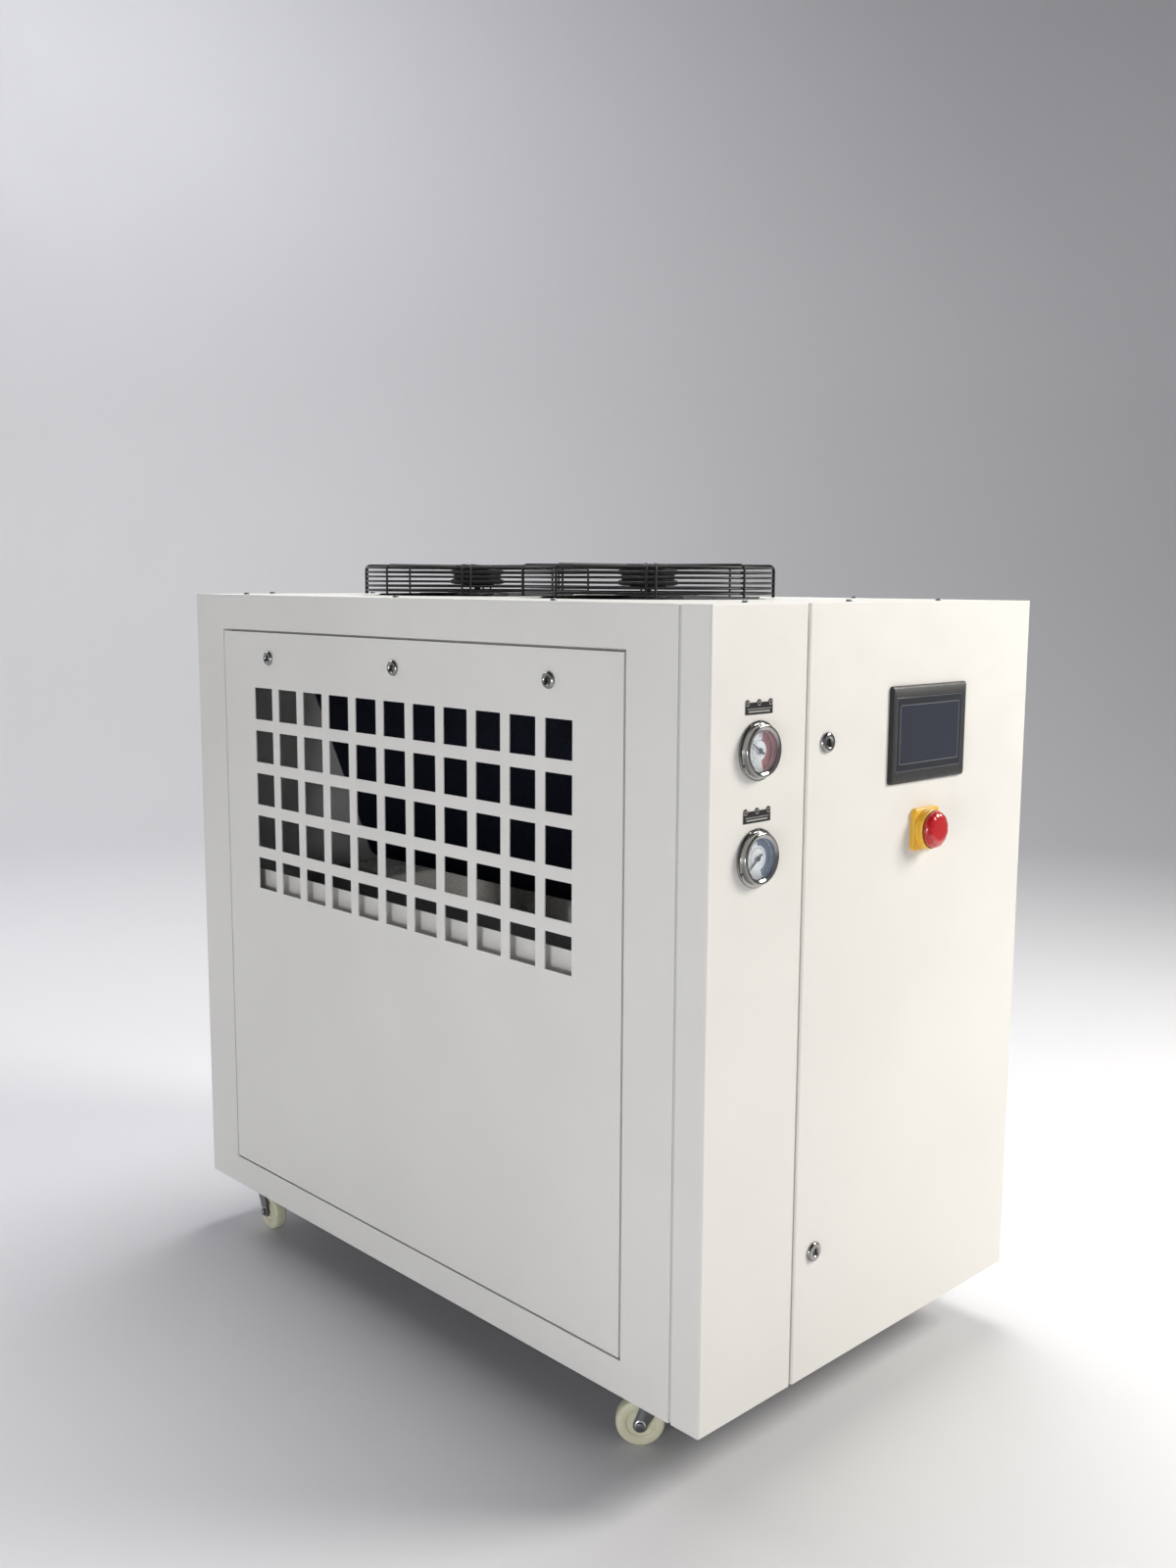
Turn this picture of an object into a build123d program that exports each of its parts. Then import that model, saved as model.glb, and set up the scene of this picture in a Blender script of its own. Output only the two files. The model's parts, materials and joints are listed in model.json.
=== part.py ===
from build123d import *
import os
from math import cos, radians, sin, tan

os.makedirs("parts", exist_ok=True)

# All sizes are in millimetres. +Z is up, the controls face -Y, and the origin
# is on the floor under the middle of the cabinet.

# Cabinet
cabinet_width = 790.0
cabinet_length = 1300.0
cabinet_height = 1145.0
castor_height = 108.0
sheet = 2.0
front_depth = 57.0
seam = 5.0
corner_radius = 3.0
seat = 0.3

# Base frame, corner posts and bulkheads
pan_thickness = 3.0
rail_width = 50.0
rail_height = 50.0
rail_wall = 3.0
post_width = 30.0
compartment_depth = 85.0
rear_bay_gap = 4.0

# Side surrounds and their lift-off access panels
panel_length = 1045.7
panel_height = 1019.7
panel_from_front = 156.3
panel_from_base = 58.4
panel_gap = 4.0
panel_depth = 18.0
lip_width = 19.0
vent_size = 58.0
vent_pitch = 78.5
vent_columns = 11
vent_rows = 5
vent_top_margin = 100.0

# Quarter-turn locks
lock_drop = 45.5
lock_spacing = 372.0
lock_flange_radius = 13.0
lock_flange_height = 5.0
lock_barrel_radius = 9.0
lock_core_radius = 6.0
lock_running_gap = 0.05
lock_flange_chamfer = 1.5
lock_slot_width = 2.0
lock_slot_length = 9.0
lock_slot_depth = 3.0
cam_reach = 41.0
cam_width = 14.0
cam_thickness = 3.0
cam_gap = 2.0
door_lock_radius = 15.0
door_lock_inset = 44.0
door_lock_high = 950.0
door_lock_low = 193.6
door_cam_reach = 32.0
door_cam_gap = 5.0

# Gauge panel at the left of the front
gauge_panel_width = 201.0
gauge_from_left = 98.0
gauge_high = 950.0
gauge_low = 804.0
gauge_flange_radius = 41.0
gauge_flange_thickness = 3.0
gauge_bezel_radius = 36.0
gauge_bezel_height = 12.5
gauge_bezel_chamfer = 1.5
gauge_window_radius = 28.5
gauge_lip = 2.0
gauge_case_radius = 31.0
gauge_case_wall = 1.5
gauge_case_depth = 30.0
gauge_stem_radius = 6.0
gauge_stem_length = 16.0
gauge_glass = 2.0
dial_depth = 2.0
dial_thickness = 1.0
needle_length = 24.0
needle_tail = 9.0
needle_width = 2.4
needle_thickness = 0.8
needle_lift = 1.7
needle_hub_radius = 4.0
needle_pin_radius = 1.0
needle_pin_length = 5.0
needle_angle_high = 150.0
needle_angle_low = 217.0
label_length = 56.0
label_height = 16.0
label_bump = 4.0
label_bump_spacing = 24.0
label_thickness = 1.0
label_rise = 57.0

# Door
door_ring = 10.0
door_ring_inset = 20.0
door_ring_depth = 14.0
hinge_offset = 7.0
hinge_radius = 6.0
hinge_pin_radius = 3.0
hinge_running_gap = 0.05
hinge_length = 76.0
hinge_leaf = 3.0
hinge_leaf_width = 32.0
hinge_clearance = 1.5
hinge_high = 980.0
hinge_low = 165.0

# Touch screen
screen_from_left = 499.0
screen_high = 948.5
bezel_length = 200.4
bezel_height = 146.5
bezel_proud = 6.0
bezel_radius = 5.0
housing_margin = 6.0
housing_depth = 36.0
glass_length = 177.0
glass_height = 112.0
glass_thickness = 1.2

# Rotary isolator
isolator_from_left = 497.0
isolator_high = 800.5
isolator_plate_size = 65.0
isolator_plate_proud = 8.0
isolator_plate_radius = 7.0
isolator_collar_radius = 31.0
isolator_collar_proud = 20.0
isolator_body_size = 44.0
isolator_body_depth = 34.0
knob_radius = 28.5
knob_gap = 0.6
knob_rim = 3.0
knob_dome = 9.0
knob_shaft_radius = 5.0
knob_running_gap = 0.05
knob_shaft_length = 24.0

# Fans on the top sheet
fan_from_front = 491.0
fan_spacing = 451.0
fan_opening_radius = 200.0
fan_collar_depth = 30.0
guard_radius = 212.0
guard_height = 57.0
guard_wire = 4.0
guard_rings = 6
guard_ring_low = 9.0
guard_top_rings = 5
guard_arm_pairs = 4
guard_arm_angle = 45.0
guard_arm_spacing = 15.0
guard_foot = 12.0
guard_foot_thickness = 2.0
motor_plate_radius = 52.0
motor_radius = 50.0
motor_height = 34.0
motor_shaft_radius = 6.0
rotor_hub_radius = 60.0
rotor_hub_height = 34.0
rotor_gap = 14.0
rotor_radius = 190.0
rotor_running_gap = 0.05
blade_count = 5
blade_chord = 112.0
blade_thickness = 3.0
blade_pitch = 20.0

# Condenser coil in the upper bay
shelf_height = 565.0
coil_top = 1095.0
coil_fold_height = 577.0
coil_lean = 21.3
coil_bend_radius = 18.5
coil_thickness = 34.0
tray_width = 390.0
tray_wall_height = 25.0
bay_rail_height = 71.5
bay_rail_foot = 20.0

# Castors
castor_front_from_side = 84.0
castor_front_from_front = 152.0
castor_rear_from_side = 70.0
castor_rear_from_front = 1219.0
castor_plate_size = 72.0
castor_plate_thickness = 4.0
castor_race_radius = 26.0
castor_race_height = 10.0
castor_race_gap = 1.0
castor_crown_thickness = 5.0
castor_kingpin_radius = 5.0
castor_kingpin_head = 9.0
castor_kingpin_head_height = 5.0
castor_running_gap = 0.05
castor_trail = 28.0
wheel_radius = 37.0
wheel_width = 24.0
wheel_side_gap = 3.0
wheel_recess = 3.0
wheel_recess_inner = 12.0
wheel_recess_outer = 29.0
fork_leg_thickness = 3.0
fork_leg_top = 40.0
fork_leg_foot = 11.0
axle_radius = 4.0
axle_nut_radius = 7.0
axle_nut_height = 5.0
axle_running_gap = 0.05

# Water ports and cable gland at the back
port_radius = 20.0
port_bore_radius = 15.15
port_length = 28.0
port_flange_radius = 26.0
port_flange_thickness = 4.0
port_from_right = 120.0
port_low = 170.0
port_rise = 130.0
gland_radius = 14.0
gland_nut_radius = 18.0
gland_bore_radius = 6.5
gland_length = 22.0
gland_from_left = 120.0
gland_low = 170.0

# Mounting plate in the control compartment
mounting_plate_length = 490.0
mounting_plate_height = 920.0
mounting_plate_thickness = 3.0
mounting_plate_standoff = 10.0
mounting_plate_foot = 7.0
mounting_plate_low = 118.0

# Control gear on the mounting plate: rows of devices on rails, ducts between them.
# Each row is the width, height and depth of a device, and how many there are.
gear_high = 920.0
gear_pitch = 180.0
gear_from_left = 505.0
gear_length = 400.0
gear_gap = 1.0
gear_rows = (
    (18.0, 80.0, 55.0, 14),
    (45.0, 75.0, 58.0, 5),
    (72.0, 90.0, 50.0, 4),
    (14.0, 45.0, 36.0, 18),
)
gear_rail_height = 35.0
gear_rail_web = 25.0
gear_rail_depth = 7.5
gear_rail_sheet = 1.0
duct_height = 40.0
duct_depth = 50.0
duct_wall = 2.0

# Places worked out from the sizes above
left = -cabinet_width / 2
right = cabinet_width / 2
front = -cabinet_length / 2
rear = cabinet_length / 2
base_z = castor_height
top_z = castor_height + cabinet_height
under_top = top_z - sheet
body_front = front + front_depth
tray_back = body_front - seam
inner_front = body_front + sheet
inner_rear = rear - sheet
inner_width = cabinet_width - 2 * sheet
inner_length = inner_rear - inner_front
inner_mid = (inner_front + inner_rear) / 2
compartment_back = inner_front + compartment_depth
bay_rear = inner_rear - post_width - rear_bay_gap
bay_length = bay_rear - sheet - compartment_back - sheet
bay_mid = (compartment_back + sheet + bay_rear - sheet) / 2
shelf_z = base_z + shelf_height


def facing_front(y):
    """A plane across the cabinet at y, drawn as seen from the front."""
    return Plane.XZ.offset(-y)


def facing_side(x):
    """A plane along the cabinet at x, with +Y to the right."""
    return Plane.YZ.offset(x)


# Base frame: a floor pan with inward-facing channel rails around it
with BuildPart() as base_frame:
    with BuildSketch(Plane.XY.offset(base_z)):
        with Locations((0, inner_mid)):
            Rectangle(inner_width, inner_length)
    extrude(amount=rail_height)
    with BuildSketch(Plane.XY.offset(base_z + pan_thickness)):
        with Locations((0, inner_mid)):
            Rectangle(inner_width - 2 * rail_width, inner_length - 2 * rail_width)
    extrude(amount=rail_height - pan_thickness, mode=Mode.SUBTRACT)
    with BuildSketch(Plane.XY.offset(base_z + pan_thickness)):
        with Locations((0, inner_mid)):
            Rectangle(inner_width - 2 * rail_wall, inner_length - 2 * rail_wall)
    extrude(amount=rail_height - pan_thickness - rail_wall, mode=Mode.SUBTRACT)
base_frame.part.label = "base_frame"
export_step(base_frame.part, "parts/base_frame.step")

# Corner posts: square tubes from the base rails to the top sheet
post_x = inner_width / 2 - post_width / 2
post_length = under_top - base_z - rail_height
with BuildPart() as corner_posts:
    with BuildSketch(Plane.XY.offset(base_z + rail_height)):
        with Locations((0, inner_mid)):
            with GridLocations(2 * post_x, inner_length - post_width, 2, 2):
                Rectangle(post_width, post_width)
                Rectangle(
                    post_width - 2 * rail_wall, post_width - 2 * rail_wall, mode=Mode.SUBTRACT
                )
    extrude(amount=post_length)
corner_posts.part.label = "corner_posts"
export_step(corner_posts.part, "parts/corner_posts.step")

# Front frame: the bulkhead that carries the gauge panel and closes on the door
gauge_panel_right = left + gauge_panel_width
door_left = gauge_panel_right + seam
door_width = right - door_left
door_mid = (door_left + right) / 2
body_mid_z = (base_z + under_top) / 2
body_height = under_top - base_z
tray_mid_z = (base_z + top_z) / 2
ring_width = door_width - 2 * door_ring_inset
ring_height = body_height - 2 * door_ring_inset
socket_width = gauge_panel_width - 2 * sheet
socket_height = cabinet_height - 2 * sheet
with BuildPart() as front_frame:
    with BuildSketch(facing_front(body_front)):
        with Locations((0, body_mid_z)):
            Rectangle(inner_width, body_height)
        with Locations((door_mid, body_mid_z)):
            Rectangle(ring_width - 2 * door_ring, ring_height - 2 * door_ring, mode=Mode.SUBTRACT)
    extrude(amount=-sheet)
    with BuildSketch(facing_front(body_front)):
        with Locations((door_mid, body_mid_z)):
            Rectangle(ring_width, ring_height)
            Rectangle(ring_width - 2 * sheet, ring_height - 2 * sheet, mode=Mode.SUBTRACT)
    extrude(amount=door_ring_depth)
    with BuildSketch(facing_front(body_front)):
        with Locations((left + gauge_panel_width / 2, tray_mid_z)):
            Rectangle(socket_width, socket_height)
            Rectangle(socket_width - 2 * sheet, socket_height - 2 * sheet, mode=Mode.SUBTRACT)
    extrude(amount=door_ring_depth)
front_frame.part.label = "front_frame"
export_step(front_frame.part, "parts/front_frame.step")

# Control compartment: back wall and floor in one folded sheet
with BuildPart() as control_compartment:
    with BuildSketch(facing_front(compartment_back)):
        with Locations((0, (base_z + rail_height + under_top) / 2)):
            Rectangle(inner_width, post_length)
    extrude(amount=-sheet)
    with BuildSketch(Plane.XY.offset(base_z + rail_height)):
        with Locations((0, (inner_front + compartment_back) / 2)):
            Rectangle(inner_width - 2 * post_width, compartment_depth)
    extrude(amount=sheet)
control_compartment.part.label = "control_compartment"
export_step(control_compartment.part, "parts/control_compartment.step")

# Mounting plate on four standoffs, between the gauge panel and the hinges
plate_back = compartment_back - mounting_plate_standoff
plate_mid_z = base_z + mounting_plate_low + mounting_plate_height / 2
with BuildPart() as mounting_plate:
    with BuildSketch(facing_front(plate_back)):
        with Locations((door_mid, plate_mid_z)):
            Rectangle(mounting_plate_length, mounting_plate_height)
    extrude(amount=mounting_plate_thickness)
    with BuildSketch(facing_front(plate_back)):
        with Locations((door_mid, plate_mid_z)):
            with GridLocations(
                mounting_plate_length - 4 * mounting_plate_foot,
                mounting_plate_height - 4 * mounting_plate_foot,
                2,
                2,
            ):
                Circle(mounting_plate_foot)
    extrude(amount=-mounting_plate_standoff)
mounting_plate.part.label = "mounting_plate"
export_step(mounting_plate.part, "parts/mounting_plate.step")

# Rails, devices and wiring ducts, seated on the plate
gear_x = left + gear_from_left
gear_face = plate_back - mounting_plate_thickness
gear_rail_face = gear_face - gear_rail_depth
gear_heights = [base_z + gear_high - row * gear_pitch for row in range(len(gear_rows))]
with BuildPart() as gear_rails:
    for height in gear_heights:
        with BuildSketch(facing_side(gear_x - gear_length / 2)):
            with Locations((gear_face - gear_rail_sheet / 2, height)):
                Rectangle(gear_rail_sheet, gear_rail_web)
            with Locations((gear_rail_face + gear_rail_sheet / 2, height)):
                Rectangle(gear_rail_sheet, gear_rail_height)
                Rectangle(
                    gear_rail_sheet, gear_rail_web - 2 * gear_rail_sheet, mode=Mode.SUBTRACT
                )
            with Locations((gear_face - gear_rail_depth / 2, height)):
                with GridLocations(1, gear_rail_web - gear_rail_sheet, 1, 2):
                    Rectangle(gear_rail_depth, gear_rail_sheet)
        extrude(amount=gear_length)
gear_rails.part.label = "gear_rails"
export_step(gear_rails.part, "parts/gear_rails.step")

with BuildPart() as gear_devices:
    for height, (width, tall, depth, count) in zip(gear_heights, gear_rows):
        with BuildSketch(facing_front(gear_rail_face)):
            with Locations((gear_x, height)):
                with GridLocations(width + gear_gap, 1, count, 1):
                    Rectangle(width, tall)
        extrude(amount=depth)
gear_devices.part.label = "gear_devices"
export_step(gear_devices.part, "parts/gear_devices.step")

with BuildPart() as wiring_ducts:
    for height in [gear_heights[0] + gear_pitch] + gear_heights:
        with BuildSketch(facing_side(gear_x - gear_length / 2)):
            with Locations((gear_face - duct_depth / 2, height - gear_pitch / 2)):
                Rectangle(duct_depth, duct_height)
                Rectangle(
                    duct_depth - 2 * duct_wall, duct_height - 2 * duct_wall, mode=Mode.SUBTRACT
                )
        extrude(amount=gear_length)
wiring_ducts.part.label = "wiring_ducts"
export_step(wiring_ducts.part, "parts/wiring_ducts.step")

# Side surround: a frame sheet whose folded lip carries the access panel
panel_mid_y = front + panel_from_front + panel_length / 2
panel_mid_z = base_z + panel_from_base + panel_height / 2
opening_length = panel_length + 2 * panel_gap
opening_height = panel_height + 2 * panel_gap
lip_length = opening_length - 2 * lip_width
lip_height = opening_height - 2 * lip_width
side_length = rear - body_front
side_mid_y = (body_front + rear) / 2
with BuildPart() as left_surround:
    with BuildSketch(facing_side(left)):
        with Locations((side_mid_y, body_mid_z)):
            Rectangle(side_length, body_height)
        with Locations((panel_mid_y, panel_mid_z)):
            Rectangle(opening_length, opening_height, mode=Mode.SUBTRACT)
    extrude(amount=sheet)
    with BuildSketch(facing_side(left)):
        with Locations((panel_mid_y, panel_mid_z)):
            Rectangle(opening_length + 2 * sheet, opening_height + 2 * sheet)
            Rectangle(opening_length, opening_height, mode=Mode.SUBTRACT)
    extrude(amount=panel_depth + sheet)
    with BuildSketch(facing_side(left + panel_depth)):
        with Locations((panel_mid_y, panel_mid_z)):
            Rectangle(opening_length, opening_height)
            Rectangle(lip_length, lip_height, mode=Mode.SUBTRACT)
    extrude(amount=sheet)
left_surround.part.label = "left_surround"
export_step(left_surround.part, "parts/left_surround.step")

with BuildPart() as right_surround:
    mirror(left_surround.part, about=Plane.YZ)
right_surround.part.label = "right_surround"
export_step(right_surround.part, "parts/right_surround.step")

# Access panel: a shallow tray with square vents and three lock holes
lock_z = panel_mid_z + panel_height / 2 - lock_drop
vent_mid_z = (
    panel_mid_z + panel_height / 2 - vent_top_margin - vent_size / 2
    - vent_pitch * (vent_rows - 1) / 2
)
with BuildPart() as left_access_panel:
    with BuildSketch(facing_side(left)):
        with Locations((panel_mid_y, panel_mid_z)):
            Rectangle(panel_length, panel_height)
    extrude(amount=panel_depth)
    with BuildSketch(facing_side(left + sheet)):
        with Locations((panel_mid_y, panel_mid_z)):
            Rectangle(panel_length - 2 * sheet, panel_height - 2 * sheet)
    extrude(amount=panel_depth - sheet, mode=Mode.SUBTRACT)
    with BuildSketch(facing_side(left)):
        with Locations((panel_mid_y, vent_mid_z)):
            with GridLocations(vent_pitch, vent_pitch, vent_columns, vent_rows):
                Rectangle(vent_size, vent_size)
        with Locations((panel_mid_y, lock_z)):
            with GridLocations(lock_spacing, 1, 3, 1):
                Circle(lock_barrel_radius)
    extrude(amount=sheet, mode=Mode.SUBTRACT)
left_access_panel.part.label = "left_access_panel"
export_step(left_access_panel.part, "parts/left_access_panel.step")

with BuildPart() as right_access_panel:
    mirror(left_access_panel.part, about=Plane.YZ)
right_access_panel.part.label = "right_access_panel"
export_step(right_access_panel.part, "parts/right_access_panel.step")

# Quarter-turn locks of the access panels: fixed housings
lock_barrel_length = panel_depth + sheet
with BuildPart() as panel_lock_housings:
    with BuildSketch(facing_side(left)):
        with Locations((panel_mid_y, lock_z)):
            with GridLocations(lock_spacing, 1, 3, 1):
                Circle(lock_flange_radius)
    extrude(amount=-lock_flange_height)
    chamfer(faces().sort_by(Axis.X)[:3].edges(), length=lock_flange_chamfer)
    with BuildSketch(facing_side(left)):
        with Locations((panel_mid_y, lock_z)):
            with GridLocations(lock_spacing, 1, 3, 1):
                Circle(lock_barrel_radius)
    extrude(amount=lock_barrel_length)
    with BuildSketch(facing_side(left - lock_flange_height)):
        with Locations((panel_mid_y, lock_z)):
            with GridLocations(lock_spacing, 1, 3, 1):
                Circle(lock_core_radius + lock_running_gap)
    extrude(amount=lock_flange_height + lock_barrel_length, mode=Mode.SUBTRACT)
    mirror(about=Plane.YZ)
panel_lock_housings.part.label = "panel_lock_housings"
export_step(panel_lock_housings.part, "parts/panel_lock_housings.step")


def make_lock(name, plane, depth, reach):
    """A turning lock core with a key slot in front and its cam up behind.

    The plane lies on the panel's face and looks outwards; depth is how far
    behind that face the cam starts.
    """
    with BuildPart() as lock:
        with BuildSketch(plane.offset(lock_flange_height)):
            Circle(lock_core_radius)
        extrude(amount=-(lock_flange_height + depth + cam_thickness))
        with BuildSketch(plane.offset(lock_flange_height)):
            Rectangle(lock_slot_width, lock_slot_length)
        extrude(amount=-lock_slot_depth, mode=Mode.SUBTRACT)
        with BuildSketch(plane.offset(-depth - cam_thickness)):
            with Locations((0, reach / 2)):
                Rectangle(cam_width, reach)
            Circle(cam_width / 2)
        extrude(amount=cam_thickness)
    lock.part.label = name
    export_step(lock.part, f"parts/{name}.step")


# Turning cores of the access panel locks, with their cams up behind the lip
lock_places = (("front", -lock_spacing), ("middle", 0.0), ("rear", lock_spacing))
for side_name, side in (("left", -1), ("right", 1)):
    for place_name, along in lock_places:
        make_lock(
            f"{side_name}_lock_{place_name}",
            Plane(
                origin=(side * right, panel_mid_y + along, lock_z),
                x_dir=(0, side, 0),
                z_dir=(side, 0, 0),
            ),
            lock_barrel_length + cam_gap,
            cam_reach,
        )

# Rear panel, with holes for the water ports and the cable gland
port_x = right - port_from_right
port_z = base_z + port_low
gland_x = left + gland_from_left
gland_z = base_z + gland_low
with BuildPart() as rear_panel:
    with BuildSketch(facing_front(inner_rear)):
        with Locations((0, body_mid_z)):
            Rectangle(inner_width, body_height)
        with Locations((port_x, port_z), (port_x, port_z + port_rise)):
            Circle(port_radius, mode=Mode.SUBTRACT)
        with Locations((gland_x, gland_z)):
            Circle(gland_radius, mode=Mode.SUBTRACT)
    extrude(amount=-sheet)
rear_panel.part.label = "rear_panel"
export_step(rear_panel.part, "parts/rear_panel.step")

with BuildPart() as water_ports:
    with BuildSketch(facing_front(rear + port_length)):
        with Locations((port_x, port_z), (port_x, port_z + port_rise)):
            Circle(port_radius)
    extrude(amount=port_length + port_length)
    with BuildSketch(facing_front(rear + port_flange_thickness)):
        with Locations((port_x, port_z), (port_x, port_z + port_rise)):
            Circle(port_flange_radius)
    extrude(amount=port_flange_thickness)
    with BuildSketch(facing_front(rear + port_length)):
        with Locations((port_x, port_z), (port_x, port_z + port_rise)):
            Circle(port_bore_radius)
    extrude(amount=port_length + port_length, mode=Mode.SUBTRACT)
water_ports.part.label = "water_ports"
export_step(water_ports.part, "parts/water_ports.step")

with BuildPart() as cable_gland:
    with BuildSketch(facing_front(rear + gland_length)):
        with Locations((gland_x, gland_z)):
            Circle(gland_radius)
    extrude(amount=2 * gland_length)
    with BuildSketch(facing_front(rear + gland_length / 2)):
        with Locations((gland_x, gland_z)):
            RegularPolygon(gland_nut_radius, 6)
    extrude(amount=gland_length / 2)
    with BuildSketch(facing_front(rear + gland_length)):
        with Locations((gland_x, gland_z)):
            Circle(gland_bore_radius)
    extrude(amount=2 * gland_length, mode=Mode.SUBTRACT)
cable_gland.part.label = "cable_gland"
export_step(cable_gland.part, "parts/cable_gland.step")

# Top panel with two fan openings, each with a collar below it
fan_y = (front + fan_from_front, front + fan_from_front + fan_spacing)
with BuildPart() as top_panel:
    with BuildSketch(Plane.XY.offset(under_top)):
        with Locations((0, side_mid_y)):
            Rectangle(cabinet_width, side_length)
    extrude(amount=sheet)
    with BuildSketch(Plane.XY.offset(under_top)):
        with Locations((0, fan_y[0]), (0, fan_y[1])):
            Circle(fan_opening_radius + sheet)
    extrude(amount=-fan_collar_depth)
    with BuildSketch(Plane.XY.offset(top_z)):
        with Locations((0, fan_y[0]), (0, fan_y[1])):
            Circle(fan_opening_radius)
    extrude(amount=-(fan_collar_depth + sheet), mode=Mode.SUBTRACT)
top_panel.part.label = "top_panel"
export_step(top_panel.part, "parts/top_panel.step")

# Upper bay: shelf, side rails, rear wall, drain tray and the folded condenser coil
with BuildPart() as coil_shelf:
    with BuildSketch(Plane.XY.offset(shelf_z - sheet)):
        with Locations((0, bay_mid)):
            Rectangle(cabinet_width - 2 * (panel_depth + sheet), bay_length)
    extrude(amount=sheet)
coil_shelf.part.label = "coil_shelf"
export_step(coil_shelf.part, "parts/coil_shelf.step")

# Side rails: angles along the shelf's edges, seen through the lowest vents
bay_rail_face = cabinet_width / 2 - panel_depth - sheet - seat
with BuildPart() as bay_rails:
    with BuildSketch(facing_front(compartment_back + sheet)):
        for side in (-1, 1):
            with Locations((side * (bay_rail_face - sheet / 2), shelf_z + bay_rail_height / 2)):
                Rectangle(sheet, bay_rail_height)
            with Locations((side * (bay_rail_face - bay_rail_foot / 2), shelf_z + sheet / 2)):
                Rectangle(bay_rail_foot, sheet)
    extrude(amount=-bay_length)
bay_rails.part.label = "bay_rails"
export_step(bay_rails.part, "parts/bay_rails.step")

with BuildPart() as coil_rear_wall:
    with BuildSketch(facing_front(bay_rear - sheet)):
        with Locations((0, (base_z + rail_height + under_top) / 2)):
            Rectangle(inner_width, post_length)
    extrude(amount=-sheet)
coil_rear_wall.part.label = "coil_rear_wall"
export_step(coil_rear_wall.part, "parts/coil_rear_wall.step")

with BuildPart() as drain_tray:
    with BuildSketch(Plane.XY.offset(shelf_z)):
        with Locations((0, bay_mid)):
            Rectangle(tray_width, bay_length)
    extrude(amount=tray_wall_height)
    with BuildSketch(Plane.XY.offset(shelf_z + sheet)):
        with Locations((0, bay_mid)):
            Rectangle(tray_width - 2 * sheet, bay_length - 2 * sheet)
    extrude(amount=tray_wall_height - sheet, mode=Mode.SUBTRACT)
drain_tray.part.label = "drain_tray"
export_step(drain_tray.part, "parts/drain_tray.step")

coil_top_half_width = (coil_top - coil_fold_height) * tan(radians(coil_lean))
with BuildPart() as condenser_coil:
    with BuildSketch(facing_front(compartment_back + sheet)):
        with BuildLine():
            FilletPolyline(
                (-coil_top_half_width, base_z + coil_top),
                (0, base_z + coil_fold_height),
                (coil_top_half_width, base_z + coil_top),
                radius=coil_bend_radius,
            )
        trace(line_width=coil_thickness)
    extrude(amount=-bay_length)
condenser_coil.part.label = "condenser_coil"
export_step(condenser_coil.part, "parts/condenser_coil.step")

# Gauge panel: the fixed tray at the left of the front
gauge_x = left + gauge_from_left
gauge_points = ((gauge_x, base_z + gauge_high), (gauge_x, base_z + gauge_low))
with BuildPart() as gauge_panel:
    with BuildSketch(facing_front(front)):
        with Locations((left + gauge_panel_width / 2, tray_mid_z)):
            Rectangle(gauge_panel_width, cabinet_height)
    extrude(amount=-(front_depth - seam))
    fillet(faces().sort_by(Axis.Y)[0].edges().filter_by(Axis.Z), radius=corner_radius)
    with BuildSketch(facing_front(front + sheet)):
        with Locations((left + gauge_panel_width / 2, tray_mid_z)):
            Rectangle(gauge_panel_width - 2 * sheet, cabinet_height - 2 * sheet)
    extrude(amount=-(front_depth - seam - sheet), mode=Mode.SUBTRACT)
    with BuildSketch(facing_front(front)):
        with Locations(*gauge_points):
            Circle(gauge_case_radius)
    extrude(amount=-sheet, mode=Mode.SUBTRACT)
gauge_panel.part.label = "gauge_panel"
export_step(gauge_panel.part, "parts/gauge_panel.step")

# Gauges: bezel rings, cases, dials, glasses and turning needles
bezel_face = front - gauge_bezel_height
glass_face = bezel_face + gauge_lip
dial_face = front - dial_depth - dial_thickness
with BuildPart() as gauge_bezels:
    with BuildSketch(facing_front(front)):
        with Locations(*gauge_points):
            Circle(gauge_flange_radius)
    extrude(amount=gauge_flange_thickness)
    with BuildSketch(facing_front(front)):
        with Locations(*gauge_points):
            Circle(gauge_bezel_radius)
    extrude(amount=gauge_bezel_height)
    chamfer(faces().sort_by(Axis.Y)[:2].edges(), length=gauge_bezel_chamfer)
    with BuildSketch(facing_front(bezel_face)):
        with Locations(*gauge_points):
            Circle(gauge_window_radius)
    extrude(amount=-gauge_bezel_height, mode=Mode.SUBTRACT)
    with BuildSketch(facing_front(front)):
        with Locations(*gauge_points):
            Circle(gauge_case_radius)
    extrude(amount=gauge_bezel_height - gauge_lip, mode=Mode.SUBTRACT)
gauge_bezels.part.label = "gauge_bezels"
export_step(gauge_bezels.part, "parts/gauge_bezels.step")

with BuildPart() as gauge_cases:
    with BuildSketch(facing_front(glass_face)):
        with Locations(*gauge_points):
            Circle(gauge_case_radius)
    extrude(amount=-(front - glass_face + gauge_case_depth))
    with BuildSketch(facing_front(glass_face)):
        with Locations(*gauge_points):
            Circle(gauge_case_radius - gauge_case_wall)
    extrude(amount=-(front - dial_depth - glass_face), mode=Mode.SUBTRACT)
    with BuildSketch(facing_front(front + gauge_case_depth)):
        with Locations(*gauge_points):
            Circle(gauge_stem_radius)
    extrude(amount=-gauge_stem_length)
    with BuildSketch(facing_front(front - dial_depth)):
        with Locations(*gauge_points):
            Circle(needle_pin_radius + axle_running_gap)
    extrude(amount=-needle_pin_length, mode=Mode.SUBTRACT)
gauge_cases.part.label = "gauge_cases"
export_step(gauge_cases.part, "parts/gauge_cases.step")

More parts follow.
